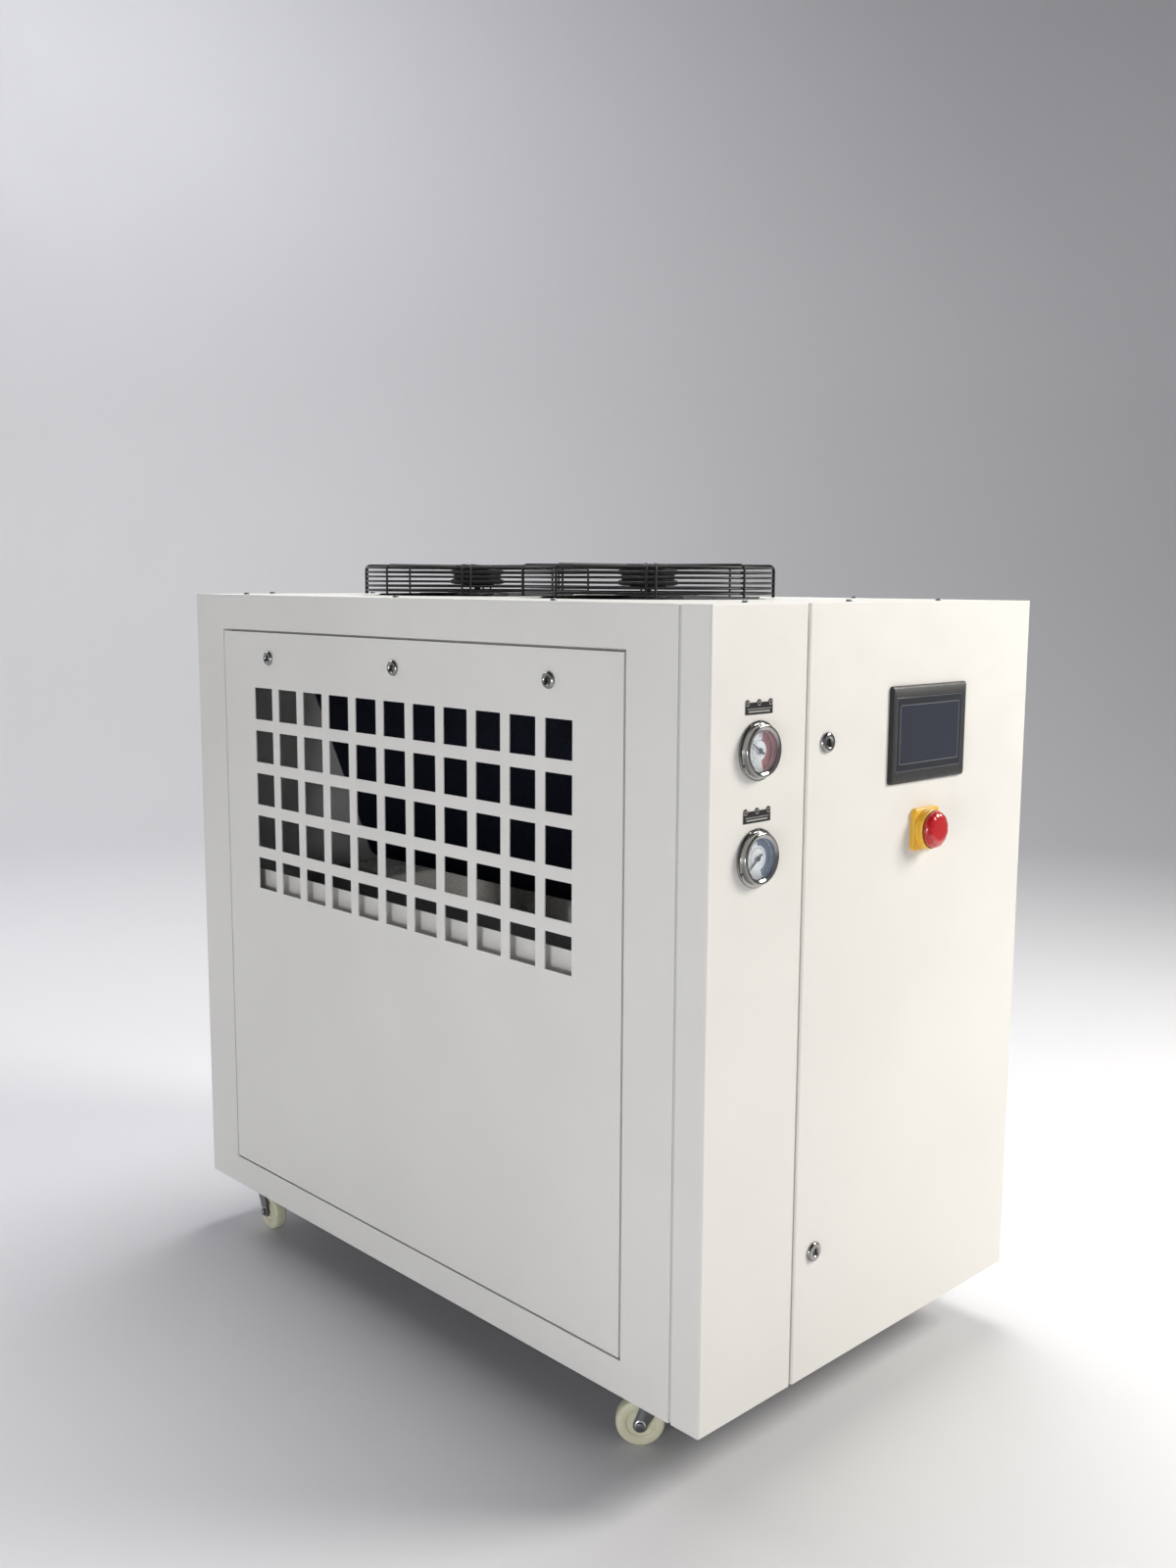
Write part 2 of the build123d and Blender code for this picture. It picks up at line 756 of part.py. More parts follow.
with BuildPart() as gauge_dials:
    with BuildSketch(facing_front(front - dial_depth)):
        with Locations(*gauge_points):
            Circle(gauge_case_radius - gauge_case_wall)
            Circle(needle_pin_radius + axle_running_gap, mode=Mode.SUBTRACT)
    extrude(amount=dial_thickness)
gauge_dials.part.label = "gauge_dials"
export_step(gauge_dials.part, "parts/gauge_dials.step")

with BuildPart() as gauge_glasses:
    with BuildSketch(facing_front(glass_face)):
        with Locations(*gauge_points):
            Circle(gauge_case_radius - gauge_case_wall)
    extrude(amount=-gauge_glass)
gauge_glasses.part.label = "gauge_glasses"
export_step(gauge_glasses.part, "parts/gauge_glasses.step")

needles = (
    ("upper_gauge_needle", gauge_points[0], needle_angle_high),
    ("lower_gauge_needle", gauge_points[1], needle_angle_low),
)
for needle_name, point, angle in needles:
    needle_back = dial_face - needle_lift
    along = Vector(cos(radians(angle)), sin(radians(angle)))
    with BuildPart() as needle:
        with BuildSketch(facing_front(needle_back)):
            with Locations((point[0] + along.X * (needle_length - needle_tail) / 2,
                            point[1] + along.Y * (needle_length - needle_tail) / 2)):
                Rectangle(needle_length + needle_tail, needle_width, rotation=angle)
            with Locations(point):
                Circle(needle_hub_radius)
        extrude(amount=needle_thickness)
        with BuildSketch(facing_front(needle_back)):
            with Locations(point):
                Circle(needle_pin_radius)
        extrude(amount=-(needle_lift + needle_pin_length))
    needle.part.label = needle_name
    export_step(needle.part, f"parts/{needle_name}.step")

# Label plates above the gauges, left bare, with three bumps on the top edge
with BuildPart() as gauge_labels:
    with BuildSketch(facing_front(front)):
        for point in gauge_points:
            with Locations((point[0], point[1] + label_rise)):
                Rectangle(label_length, label_height)
            with Locations((point[0], point[1] + label_rise + label_height / 2)):
                with GridLocations(label_bump_spacing, 1, 3, 1):
                    Circle(label_bump)
    extrude(amount=label_thickness)
gauge_labels.part.label = "gauge_labels"
export_step(gauge_labels.part, "parts/gauge_labels.step")

# Door: a full-height tray with cut-outs for the screen, isolator and locks
screen_point = (left + screen_from_left, base_z + screen_high)
isolator_point = (left + isolator_from_left, base_z + isolator_high)
door_lock_x = door_left + door_lock_inset
door_lock_points = ((door_lock_x, base_z + door_lock_high), (door_lock_x, base_z + door_lock_low))
with BuildPart() as door:
    with BuildSketch(facing_front(front)):
        with Locations((door_mid, tray_mid_z)):
            Rectangle(door_width, cabinet_height)
    extrude(amount=-(front_depth - seam))
    fillet(faces().sort_by(Axis.Y)[0].edges().filter_by(Axis.Z), radius=corner_radius)
    with BuildSketch(facing_front(front + sheet)):
        with Locations((door_mid, tray_mid_z)):
            Rectangle(door_width - 2 * sheet, cabinet_height - 2 * sheet)
    extrude(amount=-(front_depth - seam - sheet), mode=Mode.SUBTRACT)
    with BuildSketch(facing_front(front)):
        with Locations(screen_point):
            Rectangle(bezel_length - 2 * housing_margin, bezel_height - 2 * housing_margin)
        with Locations(isolator_point):
            Rectangle(isolator_body_size, isolator_body_size)
        with Locations(*door_lock_points):
            Circle(lock_barrel_radius)
    extrude(amount=-sheet, mode=Mode.SUBTRACT)
door.part.label = "door"
export_step(door.part, "parts/door.step")

# Touch screen: bezel with its rear housing, and the glass set into it
with BuildPart() as screen_bezel:
    with BuildSketch(facing_front(front)):
        with Locations(screen_point):
            RectangleRounded(bezel_length, bezel_height, bezel_radius)
    extrude(amount=bezel_proud)
    chamfer(faces().sort_by(Axis.Y)[0].edges(), length=bezel_proud / 3)
    with BuildSketch(facing_front(front)):
        with Locations(screen_point):
            Rectangle(bezel_length - 2 * housing_margin, bezel_height - 2 * housing_margin)
    extrude(amount=-housing_depth)
    with BuildSketch(facing_front(front - bezel_proud)):
        with Locations(screen_point):
            Rectangle(glass_length, glass_height)
    extrude(amount=-glass_thickness, mode=Mode.SUBTRACT)
screen_bezel.part.label = "screen_bezel"
export_step(screen_bezel.part, "parts/screen_bezel.step")

with BuildPart() as screen_glass:
    with BuildSketch(facing_front(front - bezel_proud)):
        with Locations(screen_point):
            Rectangle(glass_length, glass_height)
    extrude(amount=-glass_thickness)
screen_glass.part.label = "screen_glass"
export_step(screen_glass.part, "parts/screen_glass.step")

# Rotary isolator: yellow plate and collar with its switch body, and the red knob
with BuildPart() as isolator_plate:
    with BuildSketch(facing_front(front)):
        with Locations(isolator_point):
            RectangleRounded(isolator_plate_size, isolator_plate_size, isolator_plate_radius)
    extrude(amount=isolator_plate_proud)
    with BuildSketch(facing_front(front)):
        with Locations(isolator_point):
            Circle(isolator_collar_radius)
    extrude(amount=isolator_collar_proud)
    with BuildSketch(facing_front(front)):
        with Locations(isolator_point):
            Rectangle(isolator_body_size, isolator_body_size)
    extrude(amount=-isolator_body_depth)
    with BuildSketch(facing_front(front - isolator_collar_proud)):
        with Locations(isolator_point):
            Circle(knob_shaft_radius + knob_running_gap)
    extrude(amount=-knob_shaft_length, mode=Mode.SUBTRACT)
isolator_plate.part.label = "isolator_plate"
export_step(isolator_plate.part, "parts/isolator_plate.step")

knob_back = front - isolator_collar_proud - knob_gap
with BuildPart() as isolator_knob:
    with BuildSketch(facing_front(knob_back)):
        with Locations(isolator_point):
            Circle(knob_radius)
    extrude(amount=knob_rim + knob_dome)
    fillet(faces().sort_by(Axis.Y)[0].edges(), radius=knob_dome)
    with BuildSketch(facing_front(knob_back)):
        with Locations(isolator_point):
            Circle(knob_shaft_radius)
    extrude(amount=-(knob_shaft_length - knob_gap))
isolator_knob.part.label = "isolator_knob"
export_step(isolator_knob.part, "parts/isolator_knob.step")

# Door locks: housings, and turning cores with their cams at rest upright
door_lock_depth = front_depth + door_cam_gap
with BuildPart() as door_lock_housings:
    with BuildSketch(facing_front(front)):
        with Locations(*door_lock_points):
            Circle(door_lock_radius)
    extrude(amount=lock_flange_height)
    chamfer(faces().sort_by(Axis.Y)[:2].edges(), length=lock_flange_chamfer)
    with BuildSketch(facing_front(front)):
        with Locations(*door_lock_points):
            Circle(lock_barrel_radius)
    extrude(amount=-lock_barrel_length)
    with BuildSketch(facing_front(front - lock_flange_height)):
        with Locations(*door_lock_points):
            Circle(lock_core_radius + lock_running_gap)
    extrude(amount=-(lock_flange_height + lock_barrel_length), mode=Mode.SUBTRACT)
door_lock_housings.part.label = "door_lock_housings"
export_step(door_lock_housings.part, "parts/door_lock_housings.step")

for lock_name, point in zip(("upper_door_lock", "lower_door_lock"), door_lock_points):
    make_lock(
        lock_name,
        Plane(origin=(point[0], front, point[1]), x_dir=(1, 0, 0), z_dir=(0, -1, 0)),
        door_lock_depth + sheet,
        door_cam_reach,
    )

# Lift-off hinges at the right side: cabinet leaves with pins, and door leaves
hinge_x = right + hinge_offset
hinge_y = body_front - seam / 2
hinge_half = hinge_length / 2
leaf_start = hinge_radius + hinge_clearance
hinge_centres = (base_z + hinge_high, base_z + hinge_low)
with BuildPart() as cabinet_hinges:
    for centre in hinge_centres:
        with BuildSketch(facing_side(right)):
            with Locations((hinge_y + leaf_start + hinge_leaf_width / 2, centre)):
                Rectangle(hinge_leaf_width, hinge_length)
            with Locations((hinge_y + leaf_start / 2, centre - hinge_half / 2 - hinge_clearance)):
                Rectangle(leaf_start, hinge_half - 2 * hinge_clearance)
        extrude(amount=hinge_leaf)
        with BuildSketch(Plane.XY.offset(centre - hinge_half)):
            with Locations((hinge_x, hinge_y)):
                Circle(hinge_radius)
        extrude(amount=hinge_half)
        with BuildSketch(Plane.XY.offset(centre)):
            with Locations((hinge_x, hinge_y)):
                Circle(hinge_pin_radius)
        extrude(amount=hinge_half - hinge_clearance)
cabinet_hinges.part.label = "cabinet_hinges"
export_step(cabinet_hinges.part, "parts/cabinet_hinges.step")

with BuildPart() as door_hinges:
    for centre in hinge_centres:
        with BuildSketch(facing_side(right)):
            with Locations((hinge_y - leaf_start - hinge_leaf_width / 2, centre)):
                Rectangle(hinge_leaf_width, hinge_length)
            with Locations((hinge_y - leaf_start / 2, centre + hinge_half / 2 + hinge_clearance)):
                Rectangle(leaf_start, hinge_half - 2 * hinge_clearance)
        extrude(amount=hinge_leaf)
        with BuildSketch(Plane.XY.offset(centre + seat)):
            with Locations((hinge_x, hinge_y)):
                Circle(hinge_radius)
        extrude(amount=hinge_half - seat)
        with BuildSketch(Plane.XY.offset(centre)):
            with Locations((hinge_x, hinge_y)):
                Circle(hinge_pin_radius + hinge_running_gap)
        extrude(amount=hinge_half - hinge_clearance + seat, mode=Mode.SUBTRACT)
door_hinges.part.label = "door_hinges"
export_step(door_hinges.part, "parts/door_hinges.step")

# Fan guards: wire rings and bent legs, with paired arms to the motor plate
guard_top = top_z + guard_height
ring_pitch = (guard_height - guard_ring_low - guard_wire / 2) / (guard_rings - 1)
top_ring_pitch = (guard_radius - motor_plate_radius) / (guard_top_rings + 1)
guard_legs = []
for arm in range(guard_arm_pairs):
    arm_angle = guard_arm_angle + arm * 360 / guard_arm_pairs
    guard_legs.append((arm_angle, -guard_arm_spacing / 2))
    guard_legs.append((arm_angle, guard_arm_spacing / 2))
    guard_legs.append((arm_angle + 180 / guard_arm_pairs, 0))

for guard_name, centre_y in zip(("front_fan_guard", "rear_fan_guard"), fan_y):
    fan_section = Plane(origin=(0, centre_y, 0), x_dir=(1, 0, 0), z_dir=(0, -1, 0))
    with BuildPart() as guard:
        with BuildSketch(fan_section):
            for ring in range(guard_rings):
                with Locations((guard_radius, top_z + guard_ring_low + ring * ring_pitch)):
                    Rectangle(guard_wire, guard_wire)
            for ring in range(guard_top_rings):
                with Locations((motor_plate_radius + (ring + 1) * top_ring_pitch,
                                guard_top - guard_wire / 2)):
                    Rectangle(guard_wire, guard_wire)
        revolve(axis=Axis((0, centre_y, 0), (0, 0, 1)))
        with BuildSketch(Plane.XY.offset(guard_top - guard_wire)):
            with Locations((0, centre_y)):
                Circle(motor_plate_radius)
        extrude(amount=guard_wire)
        for leg_angle, shift in guard_legs:
            out = Vector(cos(radians(leg_angle)), sin(radians(leg_angle)), 0)
            across = Vector(out.Y, -out.X, 0)
            leg_plane = Plane(
                origin=Vector(0, centre_y, 0) + across * shift, x_dir=out, z_dir=across
            )
            reach = (guard_radius**2 - shift**2) ** 0.5
            with BuildSketch(leg_plane.offset(-guard_wire / 2)):
                with Locations((reach, top_z + guard_height / 2)):
                    Rectangle(guard_wire, guard_height)
                with Locations(((reach + motor_radius) / 2, guard_top - guard_wire / 2)):
                    Rectangle(reach - motor_radius + guard_wire, guard_wire)
            extrude(amount=guard_wire)
            with BuildSketch(leg_plane.offset(-guard_foot / 2)):
                with Locations((reach, top_z + guard_foot_thickness / 2)):
                    Rectangle(guard_foot, guard_foot_thickness)
            extrude(amount=guard_foot)
    guard.part.label = guard_name
    export_step(guard.part, f"parts/{guard_name}.step")

# Fan motors hang under the motor plates; their shafts carry the rotors
motor_top = guard_top - guard_wire
motor_low = motor_top - motor_height
rotor_top = motor_low - rotor_gap
rotor_low = rotor_top - rotor_hub_height
with BuildPart() as fan_motors:
    with BuildSketch(Plane.XY.offset(motor_low)):
        with Locations((0, fan_y[0]), (0, fan_y[1])):
            Circle(motor_radius)
    extrude(amount=motor_height)
    with BuildSketch(Plane.XY.offset(rotor_low)):
        with Locations((0, fan_y[0]), (0, fan_y[1])):
            Circle(motor_shaft_radius)
    extrude(amount=motor_low - rotor_low)
fan_motors.part.label = "fan_motors"
export_step(fan_motors.part, "parts/fan_motors.step")

for rotor_name, centre_y in zip(("front_fan_rotor", "rear_fan_rotor"), fan_y):
    rotor_mid = (rotor_top + rotor_low) / 2
    with BuildPart() as rotor:
        for blade in range(blade_count):
            turn = radians(blade * 360 / blade_count)
            out = Vector(cos(turn), sin(turn), 0)
            chord = Vector(-sin(turn) * cos(radians(blade_pitch)),
                           cos(turn) * cos(radians(blade_pitch)),
                           sin(radians(blade_pitch)))
            root = Vector(0, centre_y, rotor_mid) + out * rotor_hub_radius / 2
            with BuildSketch(Plane(origin=root, x_dir=chord, z_dir=out)):
                Rectangle(blade_chord, blade_thickness)
            extrude(amount=rotor_radius)
        with BuildSketch(Plane.XY.offset(rotor_low - blade_chord)):
            with Locations((0, centre_y)):
                Circle(rotor_radius)
        extrude(amount=rotor_hub_height + 2 * blade_chord, mode=Mode.INTERSECT)
        with BuildSketch(Plane.XY.offset(rotor_low)):
            with Locations((0, centre_y)):
                Circle(rotor_hub_radius)
        extrude(amount=rotor_hub_height)
        with BuildSketch(Plane.XY.offset(rotor_low)):
            with Locations((0, centre_y)):
                Circle(motor_shaft_radius + rotor_running_gap)
        extrude(amount=rotor_hub_height, mode=Mode.SUBTRACT)
    rotor.part.label = rotor_name
    export_step(rotor.part, f"parts/{rotor_name}.step")

# Castors: fixed plates under the base, turning forks and rolling wheels
front_castor_x = right - castor_front_from_side
rear_castor_x = right - castor_rear_from_side
front_castor_y = front + castor_front_from_front
rear_castor_y = front + castor_rear_from_front
castors = (
    ("front_left", (-front_castor_x, front_castor_y), 134.0),
    ("front_right", (front_castor_x, front_castor_y), 110.0),
    ("rear_left", (-rear_castor_x, rear_castor_y), 264.0),
    ("rear_right", (rear_castor_x, rear_castor_y), 240.0),
)
castor_points = [pivot for _, pivot, _ in castors]
race_low = base_z - castor_plate_thickness - castor_race_height
crown_top = race_low - castor_race_gap
crown_low = crown_top - castor_crown_thickness
with BuildPart() as castor_plates:
    with BuildSketch(Plane.XY.offset(base_z)):
        with Locations(*castor_points):
            Rectangle(castor_plate_size, castor_plate_size)
    extrude(amount=-castor_plate_thickness)
    with BuildSketch(Plane.XY.offset(race_low)):
        with Locations(*castor_points):
            Circle(castor_race_radius)
    extrude(amount=castor_race_height)
    with BuildSketch(Plane.XY.offset(race_low)):
        with Locations(*castor_points):
            Circle(castor_kingpin_radius)
    extrude(amount=-(race_low - crown_low + seat))
    with BuildSketch(Plane.XY.offset(crown_low - seat)):
        with Locations(*castor_points):
            Circle(castor_kingpin_head)
    extrude(amount=-castor_kingpin_head_height)
castor_plates.part.label = "castor_plates"
export_step(castor_plates.part, "parts/castor_plates.step")

leg_inner = wheel_width / 2 + wheel_side_gap
for corner, pivot, heading in castors:
    trail = Vector(cos(radians(heading)), sin(radians(heading)), 0)
    across = Vector(trail.Y, -trail.X, 0)
    castor_side = Plane(origin=(pivot[0], pivot[1], 0), x_dir=trail, z_dir=across)
    with BuildPart() as fork:
        with BuildSketch(Plane.XY.offset(crown_low)):
            with Locations(pivot):
                Circle(castor_race_radius)
        extrude(amount=castor_crown_thickness)
        for side in (-1, 1):
            with BuildSketch(castor_side.offset(side * leg_inner)):
                with BuildLine():
                    Polyline(
                        (-fork_leg_top / 2, crown_top),
                        (fork_leg_top / 2, crown_top),
                        (castor_trail + fork_leg_foot, wheel_radius),
                        (castor_trail - fork_leg_foot, wheel_radius),
                        close=True,
                    )
                make_face()
                with Locations((castor_trail, wheel_radius)):
                    Circle(fork_leg_foot)
            extrude(amount=side * fork_leg_thickness)
            with BuildSketch(castor_side.offset(side * (leg_inner + fork_leg_thickness))):
                with Locations((castor_trail, wheel_radius)):
                    RegularPolygon(axle_nut_radius, 6)
            extrude(amount=side * axle_nut_height)
        with BuildSketch(castor_side.offset(-leg_inner)):
            with Locations((castor_trail, wheel_radius)):
                Circle(axle_radius)
        extrude(amount=2 * leg_inner)
        with BuildSketch(Plane.XY.offset(crown_low)):
            with Locations(pivot):
                Circle(castor_kingpin_radius + castor_running_gap)
        extrude(amount=castor_crown_thickness, mode=Mode.SUBTRACT)
    fork.part.label = f"castor_fork_{corner}"
    export_step(fork.part, f"parts/castor_fork_{corner}.step")
    with BuildPart() as wheel:
        with BuildSketch(castor_side.offset(-wheel_width / 2)):
            with Locations((castor_trail, wheel_radius)):
                Circle(wheel_radius)
                Circle(axle_radius + axle_running_gap, mode=Mode.SUBTRACT)
        extrude(amount=wheel_width)
        for side in (-1, 1):
            with BuildSketch(castor_side.offset(side * wheel_width / 2)):
                with Locations((castor_trail, wheel_radius)):
                    Circle(wheel_recess_outer)
                    Circle(wheel_recess_inner, mode=Mode.SUBTRACT)
            extrude(amount=-side * wheel_recess, mode=Mode.SUBTRACT)
    wheel.part.label = f"castor_wheel_{corner}"
    export_step(wheel.part, f"parts/castor_wheel_{corner}.step")
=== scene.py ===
import json
import math
import bmesh
import bpy
from mathutils import Matrix, Vector


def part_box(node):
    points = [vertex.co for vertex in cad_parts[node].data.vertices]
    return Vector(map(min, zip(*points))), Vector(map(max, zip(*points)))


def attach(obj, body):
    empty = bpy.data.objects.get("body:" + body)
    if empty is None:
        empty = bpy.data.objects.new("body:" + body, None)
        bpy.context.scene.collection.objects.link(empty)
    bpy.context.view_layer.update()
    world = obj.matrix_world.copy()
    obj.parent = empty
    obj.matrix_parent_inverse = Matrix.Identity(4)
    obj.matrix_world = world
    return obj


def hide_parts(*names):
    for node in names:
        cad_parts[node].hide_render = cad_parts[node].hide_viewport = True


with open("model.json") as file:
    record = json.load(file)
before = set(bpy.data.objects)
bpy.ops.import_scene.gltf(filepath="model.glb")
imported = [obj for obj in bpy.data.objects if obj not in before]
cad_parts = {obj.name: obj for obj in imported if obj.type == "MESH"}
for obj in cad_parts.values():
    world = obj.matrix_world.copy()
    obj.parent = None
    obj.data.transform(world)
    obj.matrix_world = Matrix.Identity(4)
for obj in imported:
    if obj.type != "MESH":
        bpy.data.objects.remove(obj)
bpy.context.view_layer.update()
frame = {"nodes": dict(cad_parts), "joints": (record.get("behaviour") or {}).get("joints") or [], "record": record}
mm = 0.001  # shapes are drawn in millimetres, and each mesh is scaled to metres once
bodyOf = {node: body for body, nodes in frame["record"]["behaviour"]["bodies"].items() for node in nodes}
slotOf = {part["node"]: part["material_slot"] for part in frame["record"]["subparts"]}
jointOf = {joint["name"]: joint for joint in frame["joints"]}
print("frame loaded:", len(frame["nodes"]), "nodes")


def boxOf(node):
    low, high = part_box(node)
    return low / mm, high / mm


def centreOf(node):
    low, high = boxOf(node)
    return (low + high) / 2


def capitals(words):  # front_left gives FrontLeft
    return "".join(word.capitalize() for word in words.split("_"))


# drawing planes: local x and y lie on the plane, local z looks out of it
def plane(origin, xDir, zDir):
    x, z = Vector(xDir).normalized(), Vector(zDir).normalized()
    drawn = Matrix((x, z.cross(x), z)).transposed().to_4x4()
    drawn.translation = Vector(origin)
    return drawn


def frontPlane(x, y, z):
    return plane((x, y, z), (1, 0, 0), (0, -1, 0))


def topPlane(x, y, z):
    return plane((x, y, z), (1, 0, 0), (0, 0, 1))


def shifted(at, x, y, z=0):
    return at @ Matrix.Translation((x, y, z))


flat = Matrix.Identity(4)


# mesh helpers: rows of points joined one to the next, with their ends capped, joined up or left open
def loft(shape, rows, ends="cap"):
    rows = [[shape.verts.new(point) for point in row] for row in rows]
    for lower, upper in zip(rows, rows[1:] + (rows[:1] if ends == "join" else [])):
        for step in range(max(len(lower), len(upper))):
            corners = [lower[step % len(lower)], lower[(step + 1) % len(lower)],
                       upper[(step + 1) % len(upper)], upper[step % len(upper)]]
            shape.faces.new(list(dict.fromkeys(corners)))
    if ends == "cap":
        shape.faces.new(rows[0][::-1])
        shape.faces.new(rows[-1])


# a turned piece from (radius, height) points; a closed profile makes a ring
def turn(shape, profile, at, count=48, closed=False):
    rows = []
    for radius, height in profile:
        turns = [2 * math.pi * step / count for step in range(count if radius else 1)]
        rows.append([at @ Vector((radius * math.cos(t), radius * math.sin(t), height)) for t in turns])
    loft(shape, rows, "join" if closed else "open")


# stacked outlines of equal count
def stack(shape, layers, at, ends="cap"):
    loft(shape, [[at @ Vector((x, y, height)) for x, y in outline] for outline, height in layers], ends)


def arcPoints(x, y, radius, start, end, steps):
    angles = [math.radians(start + (end - start) * step / steps) for step in range(steps + 1)]
    return [(x + radius * math.cos(a), y + radius * math.sin(a)) for a in angles]


def hexagon(radius):
    return arcPoints(0, 0, radius, 0, 300, 5)


def roundedOutline(width, height, radius, steps=5):
    x, y = width / 2 - radius, height / 2 - radius
    corners = ((x, y, 0), (-x, y, 90), (-x, -y, 180), (x, -y, 270))
    return [point for cx, cy, start in corners
            for point in arcPoints(cx, cy, radius, start, start + 90, steps)]


# layers of one rounded rectangle, each (how much smaller, corner radius, height)
def roundedLayers(size, layers):
    width, height = size
    return [(roundedOutline(width - less, height - less, radius), rise) for less, radius, rise in layers]


def block(shape, width, height, low, high, at, radius=0.6):
    radius = min(radius, width / 3, height / 3, (high - low) / 3)
    full = roundedOutline(width, height, radius, 2)
    small = roundedOutline(width - radius, height - radius, radius / 2, 2)
    stack(shape, [(small, low), (full, low + radius / 2), (full, high - radius / 2), (small, high)], at)


# a flat or upright band round a rounded rectangle
def frameStrip(shape, width, height, radius, line, low, high, at):
    outer = roundedOutline(width, height, radius, 3)
    inner = roundedOutline(width - 2 * line, height - 2 * line, max(0.2, radius - line), 3)
    stack(shape, [(outer, low), (outer, high), (inner, high), (inner, low)], at, "join")


sharpAngle = 40  # degrees between two faces, from which the edge is rounded


def bevelEdges(shape, width, segments=2):
    worn = shape.faces.layers.float.get("edgeWear") or shape.faces.layers.float.new("edgeWear")
    sharp = [edge for edge in shape.edges
             if len(edge.link_faces) == 2 and edge.calc_face_angle(0) > math.radians(sharpAngle)]
    made = bmesh.ops.bevel(shape, geom=sharp, offset=width, offset_type="OFFSET", segments=segments,
                           profile=0.5, affect="EDGES", clamp_overlap=True)
    for face in made["faces"]:
        face[worn] = 1


def softenedCopy(node, width, segments=2):
    shape = bmesh.new()
    shape.from_mesh(frame["nodes"][node].data)
    bmesh.ops.scale(shape, vec=(1 / mm,) * 3, verts=shape.verts)
    bmesh.ops.remove_doubles(shape, verts=shape.verts, dist=0.01)
    bmesh.ops.dissolve_limit(shape, angle_limit=math.radians(0.5), verts=shape.verts, edges=shape.edges)
    bevelEdges(shape, width, segments)
    return shape


def meshOf(name, shape, recalc=True):
    if recalc:
        bmesh.ops.recalc_face_normals(shape, faces=shape.faces)
    mesh = bpy.data.meshes.new(name)
    shape.to_mesh(mesh)
    shape.free()
    return mesh


def asPiece(name, mesh, material, smooth):
    mesh.transform(Matrix.Scale(mm, 4))
    mesh.materials.clear()
    mesh.materials.append(material)
    if smooth is None:  # flat sheets stay flat, and only their bends and rounded edges are smooth
        for face in mesh.polygons:
            face.use_smooth = max(abs(value) for value in face.normal) < 0.9998
    else:
        mesh.shade_smooth()
        mesh.set_sharp_from_angle(angle=math.radians(smooth))
    piece = bpy.data.objects.new(name, mesh)
    bpy.context.scene.collection.objects.link(piece)
    return piece


def place(piece, body, slotName, *nodes):
    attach(piece, body)
    if nodes:
        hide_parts(*nodes)
    return piece


# a mesh in millimetres becomes a placed piece; without a body it rides with its node or the cabinet
def putMesh(name, mesh, slotName, *nodes, body=None, smooth=30, coat=None):
    piece = asPiece(name, mesh, finishes[coat or slotName], smooth)
    return place(piece, body or (bodyOf[nodes[0]] if nodes else "cabinet"), slotName, *nodes)


def put(name, shape, slotName, *nodes, recalc=True, **settings):
    return putMesh(name, meshOf(name, shape, recalc), slotName, *nodes, **settings)


# the shape of a CAD node itself, with softened and worn edges
def putSoftened(name, node, width, segments=2, **settings):
    return put(name, softenedCopy(node, width, segments), slotOf[node], node, recalc=False, **settings)


# node tree helpers, for materials and for Geometry Nodes
def setSockets(tree, node, links):
    for socket, value in links.items():
        if isinstance(value, bpy.types.NodeSocket):
            tree.links.new(value, node.inputs[socket])
        else:
            node.inputs[socket].default_value = value


def add(tree, kind, links=None, **settings):
    node = tree.nodes.new(kind)
    for key, value in settings.items():
        setattr(node, key, value)
    setSockets(tree, node, links or {})
    return node


def out(tree, kind, links=None, **settings):
    return add(tree, kind, links, **settings).outputs[0]


def mathOf(tree, operation, first, second):
    return out(tree, "ShaderNodeMath", {0: first, 1: second}, operation=operation)


def xyz(tree, **parts):
    return out(tree, "ShaderNodeCombineXYZ", parts)


# material helpers
def startMaterial(name):
    material = bpy.data.materials.new(name)
    material.use_nodes = True
    tree = material.node_tree
    coords = tree.nodes.new("ShaderNodeTexCoord").outputs["Object"]
    return material, tree, tree.nodes["Principled BSDF"], coords


def noise(tree, coords, scale, detail=4):
    return add(tree, "ShaderNodeTexNoise",
               {"Vector": coords, "Scale": scale, "Detail": detail, "Roughness": 0.55}).outputs["Fac"]


def ramp(tree, value, places, colours):
    node = add(tree, "ShaderNodeValToRGB", {"Fac": value})
    for element, position, colour in zip(node.color_ramp.elements, places, colours):
        element.position, element.color = position, (*colour, 1)
    return node.outputs["Color"]


def between(tree, value, low, high, fromLow=0.3, fromHigh=0.7):
    return add(tree, "ShaderNodeMapRange", {"Value": value, "From Min": fromLow, "From Max": fromHigh,
                                            "To Min": low, "To Max": high}).outputs["Result"]


def blendColour(tree, factor, first, second):
    node = add(tree, "ShaderNodeMix", data_type="RGBA")
    values = {"Factor": factor, "A": first, "B": second}
    for target in [socket for socket in node.inputs if socket.enabled]:
        value = values[target.name]
        if isinstance(value, bpy.types.NodeSocket):
            tree.links.new(value, target)
        else:
            target.default_value = (*value, 1) if isinstance(value, tuple) else value
    return next(socket for socket in node.outputs if socket.enabled)


def bump(tree, height, distance, strength, under=None):
    links = {"Height": height, "Distance": distance, "Strength": strength}
    if under is not None:
        links["Normal"] = under
    return out(tree, "ShaderNodeBump", links)


def wornEdges(tree, amount):
    worn = add(tree, "ShaderNodeAttribute", attribute_name="edgeWear").outputs["Fac"]
    return between(tree, worn, 0, amount, 0, 1)


def shades(colour, spread):  # a darker and a lighter one
    return [tuple(min(1.0, value * (1 + side * spread)) for value in colour) for side in (-1, 1)]


